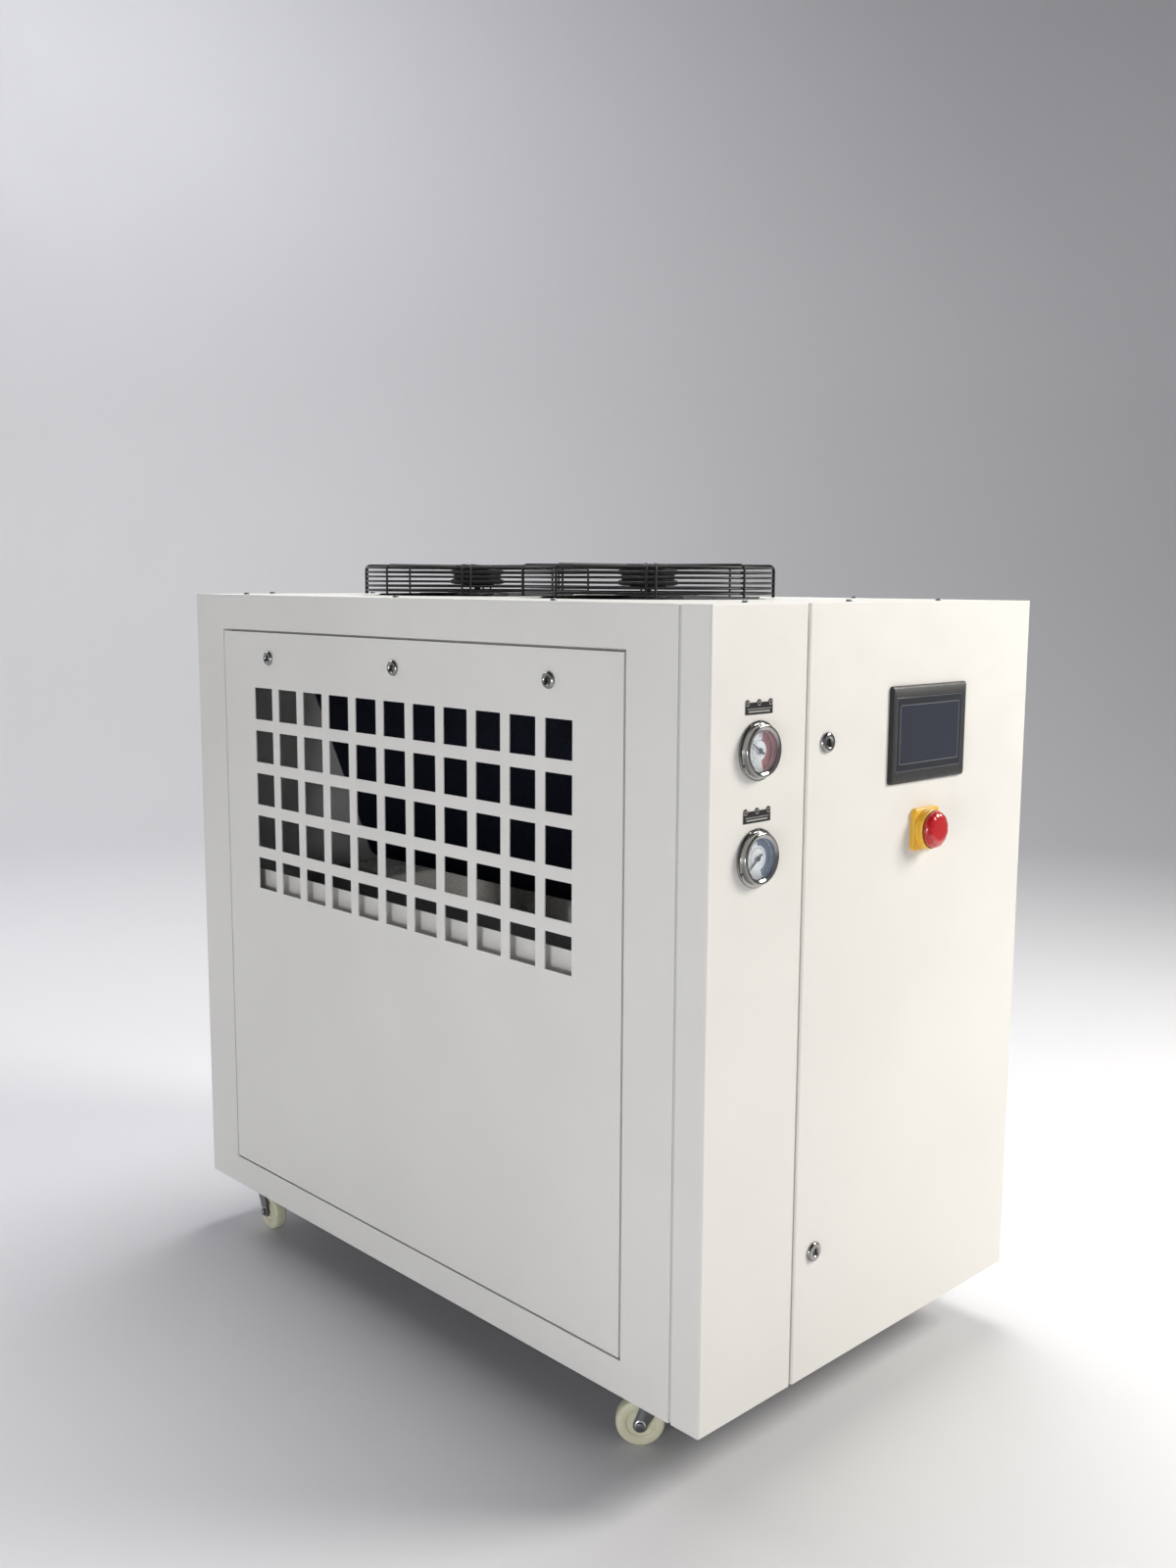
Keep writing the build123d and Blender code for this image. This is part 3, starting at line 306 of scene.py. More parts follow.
# powder coat: faint clouds, fine dark specks, thin chipped edges, and orange peel over slow waves
paintWork = {
    "cloudScale": 3.5, "speckScale": 900, "speckRange": (0.62, 0.8), "specks": 0.12, "speckShade": 0.3,
    "chipScale": 260, "chipRange": (0.42, 0.62), "leastChip": 0.15, "chips": 0.4, "sheenScale": 14,
    "peelScale": 520, "peelDepth": 0.00004, "waveScale": 30, "waveDepth": 0.00025, "waves": 0.12,
    "clearCoat": 0.12, "clearRoughness": 0.25}


def paintedFinish(name, colour, edgeColour, roughness=(0.36, 0.5), peel=0.5, spread=0.025):
    material, tree, shader, coords = startMaterial(name)
    base = ramp(tree, noise(tree, coords, paintWork["cloudScale"], 3), (0.3, 0.7), shades(colour, spread))
    speckled = noise(tree, coords, paintWork["speckScale"], 2)
    specks = between(tree, speckled, 0, paintWork["specks"], *paintWork["speckRange"])
    base = blendColour(tree, specks, base, shades(colour, paintWork["speckShade"])[0])
    chipped = noise(tree, coords, paintWork["chipScale"])
    chips = between(tree, chipped, paintWork["leastChip"], 1.0, *paintWork["chipRange"])
    edges = mathOf(tree, "MULTIPLY", wornEdges(tree, 1), chips)
    base = blendColour(tree, between(tree, edges, 0, paintWork["chips"], 0, 1), base, edgeColour)
    peelBump = bump(tree, noise(tree, coords, paintWork["peelScale"], 3), paintWork["peelDepth"], peel)
    waves = noise(tree, coords, paintWork["waveScale"], 2)
    setSockets(tree, shader, {
        "Base Color": base,
        "Coat Weight": paintWork["clearCoat"], "Coat Roughness": paintWork["clearRoughness"],
        "Roughness": between(tree, noise(tree, coords, paintWork["sheenScale"], 3), *roughness),
        "Normal": bump(tree, waves, paintWork["waveDepth"], paintWork["waves"], peelBump)})
    return material


# plated or bare metal: fine scratches, blotches, zinc flakes, brighter rubbed edges
metalWork = {"blotchScale": 45, "spread": 0.1, "flakeScale": 90, "rubbed": 0.55, "scratchDepth": 0.00003}


def metalFinish(name, colour, edgeColour, roughness, grain, scratch, flakes=0.0):
    material, tree, shader, coords = startMaterial(name)
    tones = shades(colour, metalWork["spread"])
    base = ramp(tree, noise(tree, coords, metalWork["blotchScale"]), (0.32, 0.68), tones)
    if flakes:
        cells = add(tree, "ShaderNodeTexVoronoi", {"Vector": coords, "Scale": metalWork["flakeScale"]})
        grey = out(tree, "ShaderNodeRGBToBW", {"Color": cells.outputs["Color"]})
        base = blendColour(tree, flakes, base, ramp(tree, grey, (0, 1), tones))
    base = blendColour(tree, wornEdges(tree, metalWork["rubbed"]), base, edgeColour)
    streaks = noise(tree, out(tree, "ShaderNodeMapping", {"Vector": coords, "Scale": grain}), 1, 3)
    setSockets(tree, shader, {
        "Base Color": base, "Metallic": 1, "Roughness": between(tree, streaks, *roughness),
        "Normal": bump(tree, streaks, metalWork["scratchDepth"], scratch)})
    return material


# moulded plastic or rubber: fine texture, soft sheen, lighter rubbed edges
plasticWork = {"cloudScale": 60, "sheenScale": 120, "rubbed": 0.5, "grainDepth": 0.00003,
               "clearRoughness": 0.06, "lightReach": (0.004, 0.003, 0.002)}


def plasticFinish(name, colour, edgeColour, roughness, grain, relief, coat=0.0, spread=0.06, depth=0.0):
    material, tree, shader, coords = startMaterial(name)
    base = ramp(tree, noise(tree, coords, plasticWork["cloudScale"]), (0.3, 0.7), shades(colour, spread))
    base = blendColour(tree, wornEdges(tree, plasticWork["rubbed"]), base, edgeColour)
    grainBump = bump(tree, noise(tree, coords, grain, 2), plasticWork["grainDepth"], relief)
    setSockets(tree, shader, {
        "Base Color": base, "Normal": grainBump,
        "Coat Weight": coat, "Coat Roughness": plasticWork["clearRoughness"],
        "Roughness": between(tree, noise(tree, coords, plasticWork["sheenScale"], 3), *roughness),
        "Subsurface Weight": depth, "Subsurface Radius": plasticWork["lightReach"], "Subsurface Scale": 1})
    return material


# clear gauge glass, with a faint smear
glassWork = {"smearScale": 90, "roughness": (0.03, 0.09), "haze": (0.05, 0.09)}


def glassFinish(name, dark, light):
    material, tree, shader, coords = startMaterial(name)
    smear = noise(tree, coords, glassWork["smearScale"])
    setSockets(tree, shader, {
        "Base Color": ramp(tree, smear, (0.3, 0.7), (dark, light)), "Coat Weight": 1,
        "Roughness": between(tree, smear, *glassWork["roughness"]),
        "Alpha": between(tree, smear, *glassWork["haze"])})
    return material


# name, colour, edge colour, roughness range, orange peel, colour spread
paints = {
    "cabinet_paint": ("offWhitePowderCoat", (0.79, 0.775, 0.735), (0.9, 0.89, 0.86)),
    "inner_paint": ("insideWhitePaint", (0.88, 0.88, 0.86), (0.92, 0.92, 0.9), (0.45, 0.6)),
    "frame_paint": ("framePaint", (0.62, 0.62, 0.6), (0.75, 0.75, 0.74), (0.45, 0.62), 0.7),
    # the base frame is painted near black so it throws back little light: painted shade that deepens the floor's
    # shadow under the cabinet
    "darkBase": ("darkBasePaint", (0.05, 0.05, 0.052), (0.14, 0.14, 0.14), (0.5, 0.65), 0.7),
    "dullZinc": ("dullZinc", (0.85, 0.85, 0.82), (0.9, 0.9, 0.88), (0.4, 0.55), 0.3, 0.08),
    # the drain tray's dark grey coat is painted shade under the coil
    "trayCoat": ("trayCoat", (0.3, 0.3, 0.3), (0.45, 0.45, 0.45), (0.22, 0.4), 0.3, 0.1),
}
# name, colour, edge colour, roughness range, grain, scratches, zinc flakes
metals = {
    "galvanised": ("galvanisedSheet", (0.5, 0.51, 0.52), (0.7, 0.71, 0.72),
                   (0.38, 0.55), (60, 60, 60), 0.2, 0.7),
    # the chrome's colour is kept dark: a painted reflection of dark surroundings in the gauge bezels and lock
    # housings
    "chrome": ("darkChrome", (0.34, 0.335, 0.325), (0.9, 0.9, 0.89), (0.03, 0.11), (700, 700, 700), 0.08),
    "lock_steel": ("darkLockSteel", (0.2, 0.195, 0.19), (0.55, 0.54, 0.52),
                   (0.12, 0.3), (500, 500, 500), 0.15),
    "castor_steel": ("zincPlate", (0.2, 0.21, 0.215), (0.6, 0.61, 0.62),
                     (0.28, 0.45), (300, 300, 300), 0.4, 0.25),
    "brightZinc": ("brightZinc", (0.72, 0.73, 0.74), (0.9, 0.9, 0.9), (0.12, 0.26), (300, 300, 300), 0.2),
    "port_brass": ("machinedBrass", (0.7, 0.48, 0.19), (0.9, 0.72, 0.4), (0.16, 0.32), (30, 30, 900), 0.3),
}
# name, colour, edge colour, roughness range, grain, relief, clear coat, colour spread, depth of light
plastics = {
    "guard_black": ("blackWireCoat", (0.005, 0.005, 0.006), (0.02, 0.02, 0.021), (0.38, 0.5), 700, 0.5),
    "coil_black": ("coatedFins", (0.012, 0.016, 0.03), (0.05, 0.06, 0.08), (0.4, 0.62), 500, 0.3),
    "motor_black": ("satinBlackCasting", (0.014, 0.014, 0.016), (0.05, 0.05, 0.052), (0.4, 0.6), 350, 0.9),
    "screen_black": ("texturedBlackPlastic", (0.017, 0.018, 0.019), (0.06, 0.06, 0.058),
                     (0.4, 0.55), 1400, 0.6),
    "screen_glass": ("touchGlass", (0.017, 0.02, 0.026), (0.05, 0.055, 0.06), (0.12, 0.2), 200, 0.02, 0.7),
    "dial_white": ("printedDial", (0.78, 0.82, 0.86), (0.7, 0.72, 0.75), (0.4, 0.5), 400, 0.1),
    "needle_paint": ("needlePaint", (0.012, 0.016, 0.05), (0.05, 0.06, 0.1), (0.3, 0.4), 500, 0.1),
    "label_black": ("labelBlack", (0.014, 0.014, 0.014), (0.08, 0.08, 0.08), (0.25, 0.4), 500, 0.2),
    "isolator_yellow": ("yellowMoulding", (0.83, 0.47, 0.035), (0.92, 0.6, 0.1),
                        (0.3, 0.42), 1100, 0.3, 0.1, 0.04, 0.05),
    "knob_red": ("glossyRedMoulding", (0.52, 0.006, 0.01), (0.7, 0.05, 0.04),
                 (0.16, 0.26), 300, 0.05, 0.6, 0.05),
    "wheel_nylon": ("creamNylon", (0.74, 0.72, 0.53), (0.6, 0.58, 0.42),
                    (0.38, 0.52), 260, 0.5, 0.05, 0.05, 0.08),
    "gland_plastic": ("blackGland", (0.022, 0.022, 0.022), (0.07, 0.07, 0.07), (0.4, 0.55), 900, 0.5),
    "device_grey": ("switchgearGrey", (0.34, 0.35, 0.36), (0.45, 0.46, 0.47), (0.42, 0.56), 800, 0.4),
    "duct_grey": ("ductGrey", (0.42, 0.43, 0.44), (0.52, 0.53, 0.54), (0.45, 0.58), 700, 0.3),
    # a near-black glossy colour for the tray liner: painted shade in the drain tray under the coil
    "trayBitumen": ("trayBitumen", (0.012, 0.014, 0.02), (0.05, 0.06, 0.08), (0.12, 0.3), 40, 0.9, 0.4),
    "dialInk": ("dialInk", (0.03, 0.03, 0.035), (0.03, 0.03, 0.035), (0.4, 0.5), 400, 0.05),
    "redScale": ("redScale", (0.3, 0.06, 0.075), (0.5, 0.15, 0.15), (0.4, 0.5), 400, 0.05),
    "blueScale": ("blueScale", (0.07, 0.13, 0.25), (0.2, 0.3, 0.4), (0.4, 0.5), 400, 0.05),
    "labelInk": ("labelStrokes", (0.42, 0.42, 0.4), (0.42, 0.42, 0.4), (0.35, 0.45), 400, 0.05),
    "navyDisplay": ("navyDisplay", (0.02, 0.025, 0.042), (0.02, 0.025, 0.042), (0.1, 0.16), 120, 0.02, 0.8),
    "silverLine": ("silverLine", (0.16, 0.165, 0.175), (0.16, 0.165, 0.175), (0.3, 0.4), 300, 0.05),
    "darkMoulding": ("darkMoulding", (0.03, 0.03, 0.032), (0.08, 0.08, 0.08), (0.4, 0.52), 800, 0.4),
    "paleMoulding": ("paleMoulding", (0.5, 0.5, 0.48), (0.62, 0.62, 0.6), (0.4, 0.52), 800, 0.3),
}
finishes = {"gauge_glass": glassFinish("gaugeGlass", (0.78, 0.85, 0.88), (0.9, 0.95, 0.97))}
for make, table in ((paintedFinish, paints), (metalFinish, metals), (plasticFinish, plastics)):
    finishes.update({coat: make(*values) for coat, values in table.items()})
for node, slotName in slotOf.items():
    target = frame["nodes"][node].data
    target.materials.clear()
    target.materials.append(finishes[slotName])
print("finishes made:", len(finishes))


# Geometry Nodes helpers; every tree has a Material input
def newTree(name, **kinds):
    tree = bpy.data.node_groups.new(name, "GeometryNodeTree")
    tree.interface.new_socket("Geometry", in_out="INPUT", socket_type="NodeSocketGeometry")
    for kind, labels in {**kinds, "Material": ("Material",)}.items():
        for label in labels:
            tree.interface.new_socket(label, in_out="INPUT", socket_type="NodeSocket" + kind)
    tree.interface.new_socket("Geometry", in_out="OUTPUT", socket_type="NodeSocketGeometry")
    return tree, tree.nodes.new("NodeGroupInput").outputs


def endTree(tree, geometry, material):
    real = out(tree, "GeometryNodeRealizeInstances", {"Geometry": geometry})
    painted = out(tree, "GeometryNodeSetMaterial", {"Geometry": real, "Material": material})
    tree.links.new(painted, tree.nodes.new("NodeGroupOutput").inputs[0])
    return tree


def copiesOn(tree, count, offset, instance, **links):
    line = out(tree, "GeometryNodeMeshLine", {"Count": count, "Offset": offset})
    return out(tree, "GeometryNodeInstanceOnPoints", {"Points": line, "Instance": instance, **links})


def copiesRound(tree, count, instance):
    step = mathOf(tree, "DIVIDE", 2 * math.pi, count)
    angle = mathOf(tree, "MULTIPLY", out(tree, "GeometryNodeInputIndex"), step)
    return copiesOn(tree, count, (0, 0, 0), instance, Rotation=xyz(tree, Z=angle))


def lifted(tree, geometry, height):
    return out(tree, "GeometryNodeTransform", {"Geometry": geometry, "Translation": xyz(tree, Z=height)})


# evaluates a tree on a base mesh, and places the result as one plain piece
def grow(name, base, tree, values, slotName, *nodes, at=flat, **settings):
    source = bpy.data.objects.new(name + "Source", base)
    bpy.context.scene.collection.objects.link(source)
    modifier = source.modifiers.new("grow", "NODES")
    modifier.node_group = tree
    values = {**values, "Material": finishes[settings.get("coat") or slotName]}
    for item in tree.interface.items_tree:
        if item.in_out == "INPUT" and item.name in values:
            modifier[item.identifier] = values[item.name]
    bpy.context.view_layer.update()
    graph = bpy.context.evaluated_depsgraph_get()
    mesh = bpy.data.meshes.new_from_object(source.evaluated_get(graph), depsgraph=graph)
    source.modifiers.remove(modifier)
    bpy.data.objects.remove(source)
    mesh.name = name
    mesh.transform(at)
    return putMesh(name, mesh, slotName, *nodes, **settings)


# rings, bent legs and top rings of a wire guard
wireSteps = {"sideRing": 96, "topRing": 72, "bend": 5, "section": 8}


def makeGuardTree():
    tree, inputs = newTree("wireGuard", Int=("Side Rings", "Top Rings", "Leg Groups"), Float=(
        "Guard Radius", "Wire Radius", "Side Low", "Side Pitch", "Top Start", "Top Pitch", "Top Height",
        "Bend Radius"))
    circle = "GeometryNodeCurvePrimitiveCircle"
    sideRing = out(tree, circle, {"Resolution": wireSteps["sideRing"], "Radius": inputs["Guard Radius"]})
    sideRings = copiesOn(tree, inputs["Side Rings"], xyz(tree, Z=inputs["Side Pitch"]), sideRing)
    index = out(tree, "GeometryNodeInputIndex")
    size = mathOf(tree, "ADD", inputs["Top Start"], mathOf(tree, "MULTIPLY", index, inputs["Top Pitch"]))
    topRing = out(tree, circle, {"Resolution": wireSteps["topRing"], "Radius": 1.0})
    topRings = copiesOn(tree, inputs["Top Rings"], (0, 0, 0), topRing, Scale=xyz(tree, X=size, Y=size, Z=1.0))
    legs = out(tree, "GeometryNodeMeshToCurve", {"Mesh": inputs["Geometry"]})
    legs = out(tree, "GeometryNodeFilletCurve",
               {"Curve": legs, "Count": wireSteps["bend"], "Radius": inputs["Bend Radius"]}, mode="POLY")
    wires = add(tree, "GeometryNodeJoinGeometry")
    for part in (lifted(tree, sideRings, inputs["Side Low"]), lifted(tree, topRings, inputs["Top Height"]),
                 copiesRound(tree, inputs["Leg Groups"], legs)):
        tree.links.new(part, wires.inputs[0])
    wires = out(tree, "GeometryNodeRealizeInstances", {"Geometry": wires.outputs[0]})
    section = out(tree, circle, {"Resolution": wireSteps["section"], "Radius": inputs["Wire Radius"]})
    solid = out(tree, "GeometryNodeCurveToMesh",
                {"Curve": wires, "Profile Curve": section, "Fill Caps": True})
    return endTree(tree, solid, inputs["Material"])


# screws, bolts and nuts set on points, each turned by chance
def makeFixingTree():
    tree, inputs = newTree("fixings", Object=("Piece",), Int=("Seed",))
    piece = add(tree, "GeometryNodeObjectInfo", {"Object": inputs["Piece"]})
    facing = out(tree, "GeometryNodeInputNamedAttribute", {"Name": "facing"}, data_type="FLOAT_VECTOR")
    aligned = out(tree, "FunctionNodeAlignRotationToVector", {"Vector": facing}, axis="Z")
    chance = add(tree, "FunctionNodeRandomValue", {"Seed": inputs["Seed"]}, data_type="FLOAT")
    chance.inputs[3].default_value = 2 * math.pi
    turned = out(tree, "FunctionNodeRotateRotation",
                 {"Rotation": aligned, "Rotate By": xyz(tree, Z=chance.outputs[1])}, rotation_space="LOCAL")
    points = out(tree, "GeometryNodeMeshToPoints", {"Mesh": inputs["Geometry"]})
    heads = out(tree, "GeometryNodeInstanceOnPoints",
                {"Points": points, "Instance": piece.outputs["Geometry"], "Rotation": turned})
    return endTree(tree, heads, inputs["Material"])


# printed ticks round a dial
def makeTickTree():
    tree, inputs = newTree("dialTicks", Int=("Count",), Float=(
        "Radius", "Start", "Sweep", "Length", "Width", "Height"))
    index = out(tree, "GeometryNodeInputIndex")
    share = mathOf(tree, "DIVIDE", index, mathOf(tree, "SUBTRACT", inputs["Count"], 1.0))
    angle = mathOf(tree, "ADD", inputs["Start"], mathOf(tree, "MULTIPLY", share, inputs["Sweep"]))
    x, y = [mathOf(tree, "MULTIPLY", inputs["Radius"], mathOf(tree, kind, angle, 0.0))
            for kind in ("COSINE", "SINE")]
    line = out(tree, "GeometryNodeMeshLine", {"Count": inputs["Count"]})
    line = out(tree, "GeometryNodeSetPosition", {"Geometry": line, "Position": xyz(tree, X=x, Y=y)})
    size = xyz(tree, X=inputs["Length"], Y=inputs["Width"], Z=inputs["Height"])
    bar = out(tree, "GeometryNodeMeshCube", {"Size": size})
    ticks = out(tree, "GeometryNodeInstanceOnPoints",
                {"Points": line, "Instance": bar, "Rotation": xyz(tree, Z=angle)})
    return endTree(tree, ticks, inputs["Material"])


# one item repeated along a straight row
def makeRowTree():
    tree, inputs = newTree("row", Int=("Count",), Vector=("Pitch",))
    copies = copiesOn(tree, inputs["Count"], inputs["Pitch"], inputs["Geometry"])
    return endTree(tree, copies, inputs["Material"])


# one item repeated round the z axis
def makeRoundTree():
    tree, inputs = newTree("round", Int=("Count",))
    copies = copiesRound(tree, inputs["Count"], inputs["Geometry"])
    return endTree(tree, copies, inputs["Material"])


guardTree, fixingTree, tickTree = makeGuardTree(), makeFixingTree(), makeTickTree()
rowTree, roundTree = makeRowTree(), makeRoundTree()


# spots are (point, facing) pairs, and a head's base is at z = 0
def setFixings(name, spots, head, slotName, seed, body="cabinet"):
    headObject = bpy.data.objects.new(name + "Head", meshOf(name + "Head", head))
    bpy.context.scene.collection.objects.link(headObject)
    base = bpy.data.meshes.new(name)
    base.from_pydata([spot for spot, _ in spots], [], [])
    facing = base.attributes.new("facing", "FLOAT_VECTOR", "POINT")
    for step, (_, direction) in enumerate(spots):
        facing.data[step].vector = direction
    grow(name, base, fixingTree, {"Piece": headObject, "Seed": seed}, slotName, body=body)
    bpy.data.objects.remove(headObject)


# shares of a head's radius and height
headWork = {
    "pan": ((0, 0), (1, 0), (1, 0.3), (0.86, 0.75), (0.55, 1), (0.4, 1), (0.22, 0.55), (0, 0.5)),
    "washerRadius": 1.25, "washer": 1.4, "shoulder": 0.85, "crown": 0.84}  # the washer itself in millimetres


def panHead(radius, height):
    shape = bmesh.new()
    turn(shape, [(radius * share, height * rise) for share, rise in headWork["pan"]], flat, 12)
    return shape


def hexHead(radius, height):
    shape, corners, washer = bmesh.new(), hexagon(radius), headWork["washer"]
    rim = radius * headWork["washerRadius"]
    turn(shape, [(0, 0), (rim, 0), (rim, washer), (0, washer)], flat, 20)
    stack(shape, [(corners, washer), (corners, height * headWork["shoulder"]),
                  (hexagon(radius * headWork["crown"]), height)], flat)
    return shape


# the sheet-metal shells: piece name, edge radius, segments
sheetWork = {
    "gauge_panel": ("gaugePanelSheet", 0.7, 3), "door": ("doorSheet", 0.7, 3),
    "left_surround": ("leftSurroundSheet", 0.6), "right_surround": ("rightSurroundSheet", 0.6),
    "left_access_panel": ("leftAccessPanelSheet", 0.5), "right_access_panel": ("rightAccessPanelSheet", 0.5),
    "top_panel": ("topSheet", 0.6), "rear_panel": ("rearSheet", 0.6), "front_frame": ("frontFrameSheet", 0.5),
    "control_compartment": ("compartmentSheet", 0.5), "mounting_plate": ("mountingPlateSheet", 0.6),
    "coil_shelf": ("coilShelfSheet", 0.5), "coil_rear_wall": ("coilWallSheet", 0.5),
    "drain_tray": ("drainTraySheet", 0.5), "bay_rails": ("bayRailSheet", 0.4),
    "base_frame": ("baseFrameSheet", 0.8), "corner_posts": ("cornerPostTubes", 1.0),
}
# the near-black base frame coat and the dark drain tray coat are painted shade, under the cabinet and under the
# coil
sheetCoats = {"base_frame": "darkBase", "coil_rear_wall": "dullZinc", "drain_tray": "trayCoat"}
for node, (name, *edges) in sheetWork.items():
    putSoftened(name, node, *edges, smooth=None, coat=sheetCoats.get(node))
print("sheets softened:", len(sheetWork))

# fan guards: round coated wire under a pressed plate
guardWork = {
    "radius": 212.0, "wire": 2.0, "sideRings": 6, "sideLow": 9.0, "topRings": 5, "bend": 9.0, "legGroups": 4,
    "pairAngle": 45.0, "pairSpacing": 15.0, "legFoot": 2.0, "underPlate": 4.0, "plateRadius": 52.0,
    "plate": ((0, -4), (51, -4), (52, -3), (52, -1), (51, 0), (41.6, 0), (39.52, -0.8), (15.6, -0.8),
              (13.52, 0), (0, 0))}


def legLine(shape, angle, shift, radius, low, high, reach):
    along = Vector((math.cos(math.radians(angle)), math.sin(math.radians(angle)), 0))
    across = Vector((along.y, -along.x, 0)) * shift
    edge = math.sqrt(radius ** 2 - shift ** 2)
    verts = [shape.verts.new(along * far + Vector((0, 0, height)) + across)
             for far, height in ((edge, low), (edge, high), (reach, high))]
    for first, second in zip(verts, verts[1:]):
        shape.edges.new((first, second))


for side in ("front", "rear"):
    node = f"{side}_fan_guard"
    low, high = boxOf(node)
    middle, height = centreOf(node), high.z - low.z
    wire, radius, rim, angle = [guardWork[key] for key in ("wire", "radius", "plateRadius", "pairAngle")]
    gap, reach = guardWork["pairSpacing"] / 2, rim - guardWork["underPlate"]
    midway = 180 / guardWork["legGroups"]
    legs = bmesh.new()
    for turned, shift in ((angle, -gap), (angle, gap), (angle + midway, 0)):  # a pair, and a single leg
        legLine(legs, turned, shift, radius, guardWork["legFoot"], height - wire, reach)
    topPitch = (radius - rim) / (guardWork["topRings"] + 1)
    grow(f"{side}GuardWires", meshOf(f"{side}GuardWires", legs, False), guardTree, {
        "Guard Radius": radius - 2 * wire, "Wire Radius": wire, "Side Rings": guardWork["sideRings"],
        "Side Low": guardWork["sideLow"], "Top Rings": guardWork["topRings"], "Top Height": height - 3 * wire,
        "Side Pitch": (height - guardWork["sideLow"] - 3 * wire) / (guardWork["sideRings"] - 1),
        "Top Start": rim + topPitch, "Top Pitch": topPitch, "Leg Groups": guardWork["legGroups"],
        "Bend Radius": guardWork["bend"]}, "guard_black", node, smooth=60,
        at=Matrix.Translation((middle.x, middle.y, low.z)))
    cap = bmesh.new()
    turn(cap, guardWork["plate"], topPlane(middle.x, middle.y, high.z))
    put(f"{side}GuardPlate", cap, "guard_black")
print("fan guards grown")

# fan motors with cooling fins, and rotors with cambered, twisted blades
motorWork = {"radius": 50.0, "finRoot": 45.0, "fins": 5, "firstFin": 2.5, "finSpare": 5.0, "finEdge": 0.4,
             "finShares": (0.4, 0.5), "shaft": 6.0, "shaftOverlap": 1.0, "seat": 30.0, "seatSlope": 2.0,
             "seatRise": 1.5, "neck": 1.0}
rotorWork = {
    "hub": 60.0, "hubHeight": 34.0, "gap": 14.0, "tip": 190.0, "sink": 4.0, "chord": (90.16, 107.8),
    "pitch": (21.0, 16.0), "thick": 2.6, "camber": 0.05, "blades": 5, "sections": 7,
    "hubProfile": ((6.05, -17), (18, -17), (18, -11), (56, -11), (57, -17), (60, -16), (60, 14), (57, 17),
                   (22, 17), (20, 15), (14, 15), (12, 17), (6.05, 17))}
shaftLow, motorHigh = boxOf("fan_motors")[0].z, boxOf("fan_motors")[1].z
motorLow = centreOf("front_fan_rotor").z + rotorWork["hubHeight"] / 2 + rotorWork["gap"]


# a cambered section bent round the axle, thickest near its middle
def bladeLoop(radius, chord, pitch, count=7):
    turned = math.radians(pitch)
    loop = []
    for side in (1, -1):
        for step in range(count)[::side]:
            share = step / (count - 1)
            thick = rotorWork["thick"] * (0.25 + 0.75 * math.sin(math.pi * min(0.98, 0.12 + share * 0.85)))
            along = (share - 0.5) * chord
            lift = rotorWork["camber"] * chord * math.sin(math.pi * share) + side * thick / 2
            loop.append(Vector((math.sqrt(max(radius ** 2 - along ** 2, 1)),
                                along * math.cos(turned) - lift * math.sin(turned),
                                along * math.sin(turned) + lift * math.cos(turned))))
    return loop


def mixed(low, high, share):
    return low + share * (high - low)


def bladeShape():
    shape, loops = bmesh.new(), []
    for section in range(rotorWork["sections"]):
        share = section / (rotorWork["sections"] - 1)
        radius = mixed(rotorWork["hub"] - rotorWork["sink"], rotorWork["tip"], share)
        loops.append(bladeLoop(radius, mixed(*rotorWork["chord"], share), mixed(*rotorWork["pitch"], share)))
    loft(shape, loops)
    return shape


def motorShape(axle):
    root, radius, seat, edge = [motorWork[key] for key in ("finRoot", "radius", "seat", "finEdge")]
    seatHigh = motorLow + motorWork["seatRise"]
    profile = [(0, motorLow), (seat, motorLow), (seat + motorWork["seatSlope"], seatHigh), (root, seatHigh)]
    finPitch = (motorHigh - motorLow - motorWork["finSpare"]) / motorWork["fins"]
    full, foot = [finPitch * share for share in motorWork["finShares"]]
    for fin in range(motorWork["fins"]):
        start = motorLow + motorWork["firstFin"] + fin * finPitch
        profile += [(root, start), (radius - edge, start + edge), (radius, start + full),
                    (root, start + foot)]
    shape = bmesh.new()
    turn(shape, profile + [(root, motorHigh - motorWork["neck"]), (root, motorHigh), (0, motorHigh)], axle)
    shaft, shaftHigh = motorWork["shaft"], motorLow + motorWork["shaftOverlap"]
    turn(shape, [(0, shaftLow), (shaft, shaftLow), (shaft, shaftHigh), (0, shaftHigh)], axle, 20)
    return shape


for side in ("front", "rear"):
    node = f"{side}_fan_rotor"
    middle = Vector(jointOf[f"{side}_fan_spin"]["pos_m"]) / mm  # on the axle, not at the middle of the box
    middle.z = centreOf(node).z
    grow(f"{side}FanBlades", meshOf(node, bladeShape()), roundTree, {"Count": rotorWork["blades"]},
         "motor_black", node, smooth=40, at=Matrix.Translation(middle))
    hub = bmesh.new()
    turn(hub, rotorWork["hubProfile"], topPlane(*middle), closed=True)
    put(f"{side}FanHub", hub, "motor_black", body=bodyOf[node])
    motor = motorShape(topPlane(middle.x, middle.y, 0))
    put(f"{side}FanMotor", motor, "motor_black", *(["fan_motors"] if side == "front" else []))
print("fans made")

# condenser coil: a dark core inside many thin fins, between two end plates
coilWork = {"finPitch": 4.2, "finThickness": 0.5, "inset": 1.6, "endPlate": 2.0}
trayWork = {"clear": 2.2, "floor": (2.0, 2.6), "wall": 0.6, "wallFoot": 2.4, "below": 1.0}


def insetOutline(points, amount):
    moved = []
    for step, point in enumerate(points):
        before = (point - points[step - 1]).normalized()
        after = (points[(step + 1) % len(points)] - point).normalized()
        normal = Vector((-before.y - after.y, before.x + after.x))
        moved.append(point + normal.normalized() * amount / max(0.4, normal.length / 2))
    return moved


